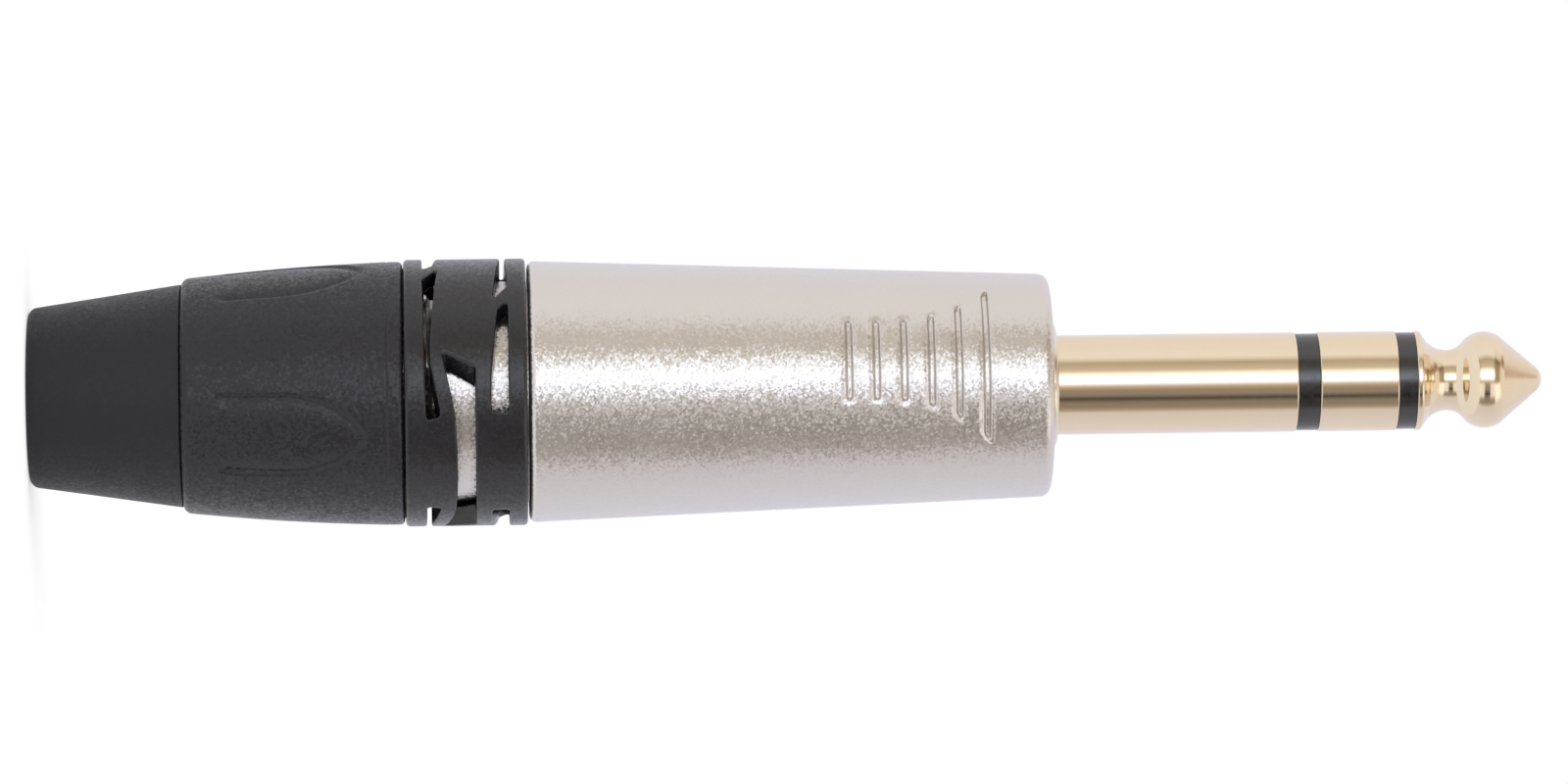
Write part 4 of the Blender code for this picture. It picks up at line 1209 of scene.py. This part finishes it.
# Light of the surroundings by angle round the plug, as its metal shows them: pale walls behind,
# a warm dark room before it and, a little above the camera, one large soft light
BACK_WALLS = ((-180, (0.85, 0.85, 1.0)), (-110, (0.78, 0.77, 0.82)), (-70, (0.72, 0.69, 0.71)))
SOFT_LIGHT = (
    (0, (1.0, 1.05, 1.2)), (6, (2.0, 2.1, 2.35)), (13, (1.85, 2.05, 2.35)), (20, (1.5, 1.6, 1.65)),
    (26, (1.1, 1.05, 0.97)), (32, (0.67, 0.60, 0.53)), (40, (0.60, 0.53, 0.43)),
    (50, (0.50, 0.43, 0.34)), (58, (0.78, 0.72, 0.64)), (66, (0.92, 0.91, 0.90)),
    (90, (0.90, 0.86, 0.82)),
)
SURROUNDINGS = (
    *BACK_WALLS, (-62, (0.43, 0.37, 0.31)), (-54, (0.29, 0.25, 0.22)), (-44, (0.27, 0.24, 0.20)),
    (-34, (0.08, 0.07, 0.06)), (-24, (0.29, 0.26, 0.24)), (-14, (0.34, 0.28, 0.21)),
    (-6, (0.57, 0.48, 0.40)), *SOFT_LIGHT, (120, (0.86, 0.84, 0.84)), (180, (0.85, 0.85, 1.0)),
)

# The same, further towards either end of the plug: first beside the dark room, then past the soft
# light, then at the ends
BESIDE = (
    *BACK_WALLS, (-60, (0.34, 0.28, 0.23)), (-50, (0.40, 0.36, 0.32)), (-40, (0.90, 0.87, 0.83)),
    (-14, (0.95, 0.92, 0.88)), (-6, (0.65, 0.58, 0.50)), *SOFT_LIGHT, (180, (0.85, 0.85, 1.0)),
)
PAST = (
    (-180, (0.85, 0.85, 1.0)), (-70, (0.75, 0.72, 0.70)), (-50, (1.2, 1.18, 1.12)),
    (-16, (1.2, 1.18, 1.12)), (-6, (0.45, 0.36, 0.26)), (30, (0.40, 0.32, 0.22)),
    (52, (0.25, 0.18, 0.11)), (66, (0.80, 0.74, 0.66)), (90, (0.90, 0.86, 0.82)),
    (180, (0.85, 0.85, 1.0)),
)
ENDS = (
    (-180, (0.85, 0.84, 0.86)), (-90, (0.84, 0.81, 0.79)), (-45, (0.88, 0.81, 0.71)),
    (40, (0.86, 0.79, 0.69)), (55, (0.52, 0.37, 0.29)), (72, (0.34, 0.20, 0.15)),
    (90, (0.52, 0.39, 0.32)), (106, (0.86, 0.81, 0.75)), (180, (0.85, 0.84, 0.86)),
)

# How steeply each of them begins and is reached, and the even light that falls on matte surfaces
ZONES = ((BESIDE, 0.14, 0.26), (PAST, 0.42, 0.56), (ENDS, 0.72, 0.86))
DIFFUSE_LEVEL = 0.85


def ramp_of(tree, share, levels, place):
    """A colour ramp over the angles round the plug."""
    ramp = add(tree, "ValToRGB", place, {"Fac": share})
    stops = ramp.color_ramp.elements
    while len(stops) < len(levels):
        stops.new(0.5)
    for stop, (angle, level) in zip(stops, levels):
        stop.position = (angle + 180) / 360
        stop.color = (*level, 1)
    return ramp.outputs["Color"]


def make_surroundings():
    """A pale studio with a soft light above the camera and dark room either side of it."""
    world = bpy.data.worlds.new("studio")
    bpy.context.scene.world = world
    world.use_nodes = True
    tree = world.node_tree
    tree.nodes.clear()
    ray = add(tree, "TexCoord", (-6, 0)).outputs["Generated"]
    x, y, z = add(tree, "SeparateXYZ", (-5, 0), {0: ray}).outputs
    back = [maths(tree, (-4, i), "MULTIPLY", side, -1) for i, side in enumerate((x, y))]
    turn = maths(tree, (-3, 0), "ARCTAN2", *back)
    inputs = {"Value": turn, "From Min": -math.pi, "From Max": math.pi}
    share = add(tree, "MapRange", (-2, 0), inputs).outputs["Result"]
    steep = maths(tree, (-3, 2), "ABSOLUTE", z)
    room = ramp_of(tree, share, SURROUNDINGS, (-1, 0))
    for i, (levels, start, end) in enumerate(ZONES):
        inputs = {"Value": steep, "From Min": start, "From Max": end}
        fade = add(tree, "MapRange", (-2, 2 + i), inputs, interpolation_type="SMOOTHSTEP")
        further = ramp_of(tree, share, levels, (-1, 2 + i))
        room = mixed(tree, (0, 2 + i), fade.outputs["Result"], room, further)
    paths = add(tree, "LightPath", (-1, -2)).outputs
    even = (DIFFUSE_LEVEL, DIFFUSE_LEVEL, DIFFUSE_LEVEL, 1)
    lit = mixed(tree, (1, 0), paths["Is Diffuse Ray"], room, even)
    seen = mixed(tree, (2, 0), paths["Is Camera Ray"], lit, (1, 1, 1, 1))
    light = add(tree, "Background", (3, 0), {"Color": seen})
    add(tree, "OutputWorld", (4, 0), {"Surface": light.outputs[0]})


def make_key_light():
    """One large soft lamp above and before the plug, for the floor's shadow."""
    lamp = bpy.data.lights.new("key", "AREA")
    lamp.shape = "RECTANGLE"
    lamp.size, lamp.size_y = KEY_SIZE
    lamp.energy = KEY_ENERGY
    key = linked("key", lamp)
    key.location = KEY_PLACE
    key.rotation_euler = (Vector(KEY_AIM) - key.location).to_track_quat("-Z", "Y").to_euler()
    key.visible_glossy = False


def make_floor_finish():
    """Plain pale paint that shows white to the camera, and in metal, where nothing shades it."""
    material = bpy.data.materials.new("pale floor")
    material.use_nodes = True
    tree = material.node_tree
    tree.nodes.clear()
    paths = add(tree, "LightPath", (-3, 1)).outputs
    seen = maths(tree, (-2, 0), "MULTIPLY", paths["Is Camera Ray"], FLOOR_SEEN)
    either = maths(tree, (-2, 1), "MAXIMUM", paths["Is Glossy Ray"], paths["Is Transmission Ray"])
    mirrored = maths(tree, (-1, 1), "MULTIPLY", either, FLOOR_MIRRORED)
    strength = maths(tree, (-1, 2), "MAXIMUM", seen, mirrored)
    matte = add(tree, "BsdfDiffuse", (0, 0), {"Color": (FLOOR_SHADE, FLOOR_SHADE, FLOOR_SHADE, 1)})
    glow = add(tree, "Emission", (0, 1), {"Strength": strength})
    both = add(tree, "AddShader", (1, 0), {0: matte.outputs[0], 1: glow.outputs[0]})
    add(tree, "OutputMaterial", (2, 0), {"Surface": both.outputs[0]})
    return material


def make_floor():
    """The plain round floor that the plug stands on."""
    bm = bmesh.new()
    bmesh.ops.create_circle(bm, cap_ends=True, segments=FLOOR_SIDES, radius=FLOOR_RADIUS)
    floor = built("floor", bm)
    floor.location.z = -HAIR
    floor.data.materials.append(make_floor_finish())


def make_camera():
    """The photograph's view: from the side, turned so that the plug lies across the picture."""
    data = bpy.data.cameras.new("camera")
    data.sensor_width = SENSOR_WIDTH
    data.lens = FOCAL_PIXELS / PHOTO_WIDTH * SENSOR_WIDTH
    camera = linked("camera", data)
    place = Vector((0, -CAMERA_AWAY, CAMERA_HEIGHT))
    look = (Vector((AIM_ASIDE, 0, AIM_HEIGHT)) - place).normalized()
    along = (Vector((0, 0, 1)) - look * look.z).normalized()
    above = along.cross(look)
    if above.x > 0:
        above = -above
    roll = math.radians(CAMERA_ROLL)
    right = along * math.cos(roll) - above * math.sin(roll)
    up = along * math.sin(roll) + above * math.cos(roll)
    camera.matrix_world = Matrix.Translation(place) @ Matrix((right, up, -look)).transposed().to_4x4()
    bpy.context.scene.camera = camera


def paint_nodes(finishes):
    """Give the nodes that stay as they are their finishes."""
    for part in frame["record"]["subparts"]:
        node = frame["nodes"][part["node"]]
        if node.hide_render:
            continue
        if not node.material_slots:
            node.data.materials.append(None)
        for holder in node.material_slots:
            holder.material = finishes[part["material_slot"]]


bpy.context.scene.view_settings.view_transform = "Standard"
finishes = make_finishes()
make_boot_sleeve(finishes["rubber"])
make_boot_nut(finishes["grained_plastic"])
make_collar_ring(finishes["satin_plastic"])
make_shell_housing(finishes["satin_nickel"], finishes["painted_shade_nickel"])
make_nose_bush(finishes["bright_nickel"])
make_sleeve_contact(finishes["gold"])
make_ring_contact(finishes["gold"])
make_ring_insulator(finishes["black_insulator"])
make_tip_insulator(finishes["black_insulator"])
make_tip_contact(finishes["gold"], finishes["turned_gold"])
paint_nodes(finishes)
make_floor()
make_surroundings()
make_key_light()
make_camera()
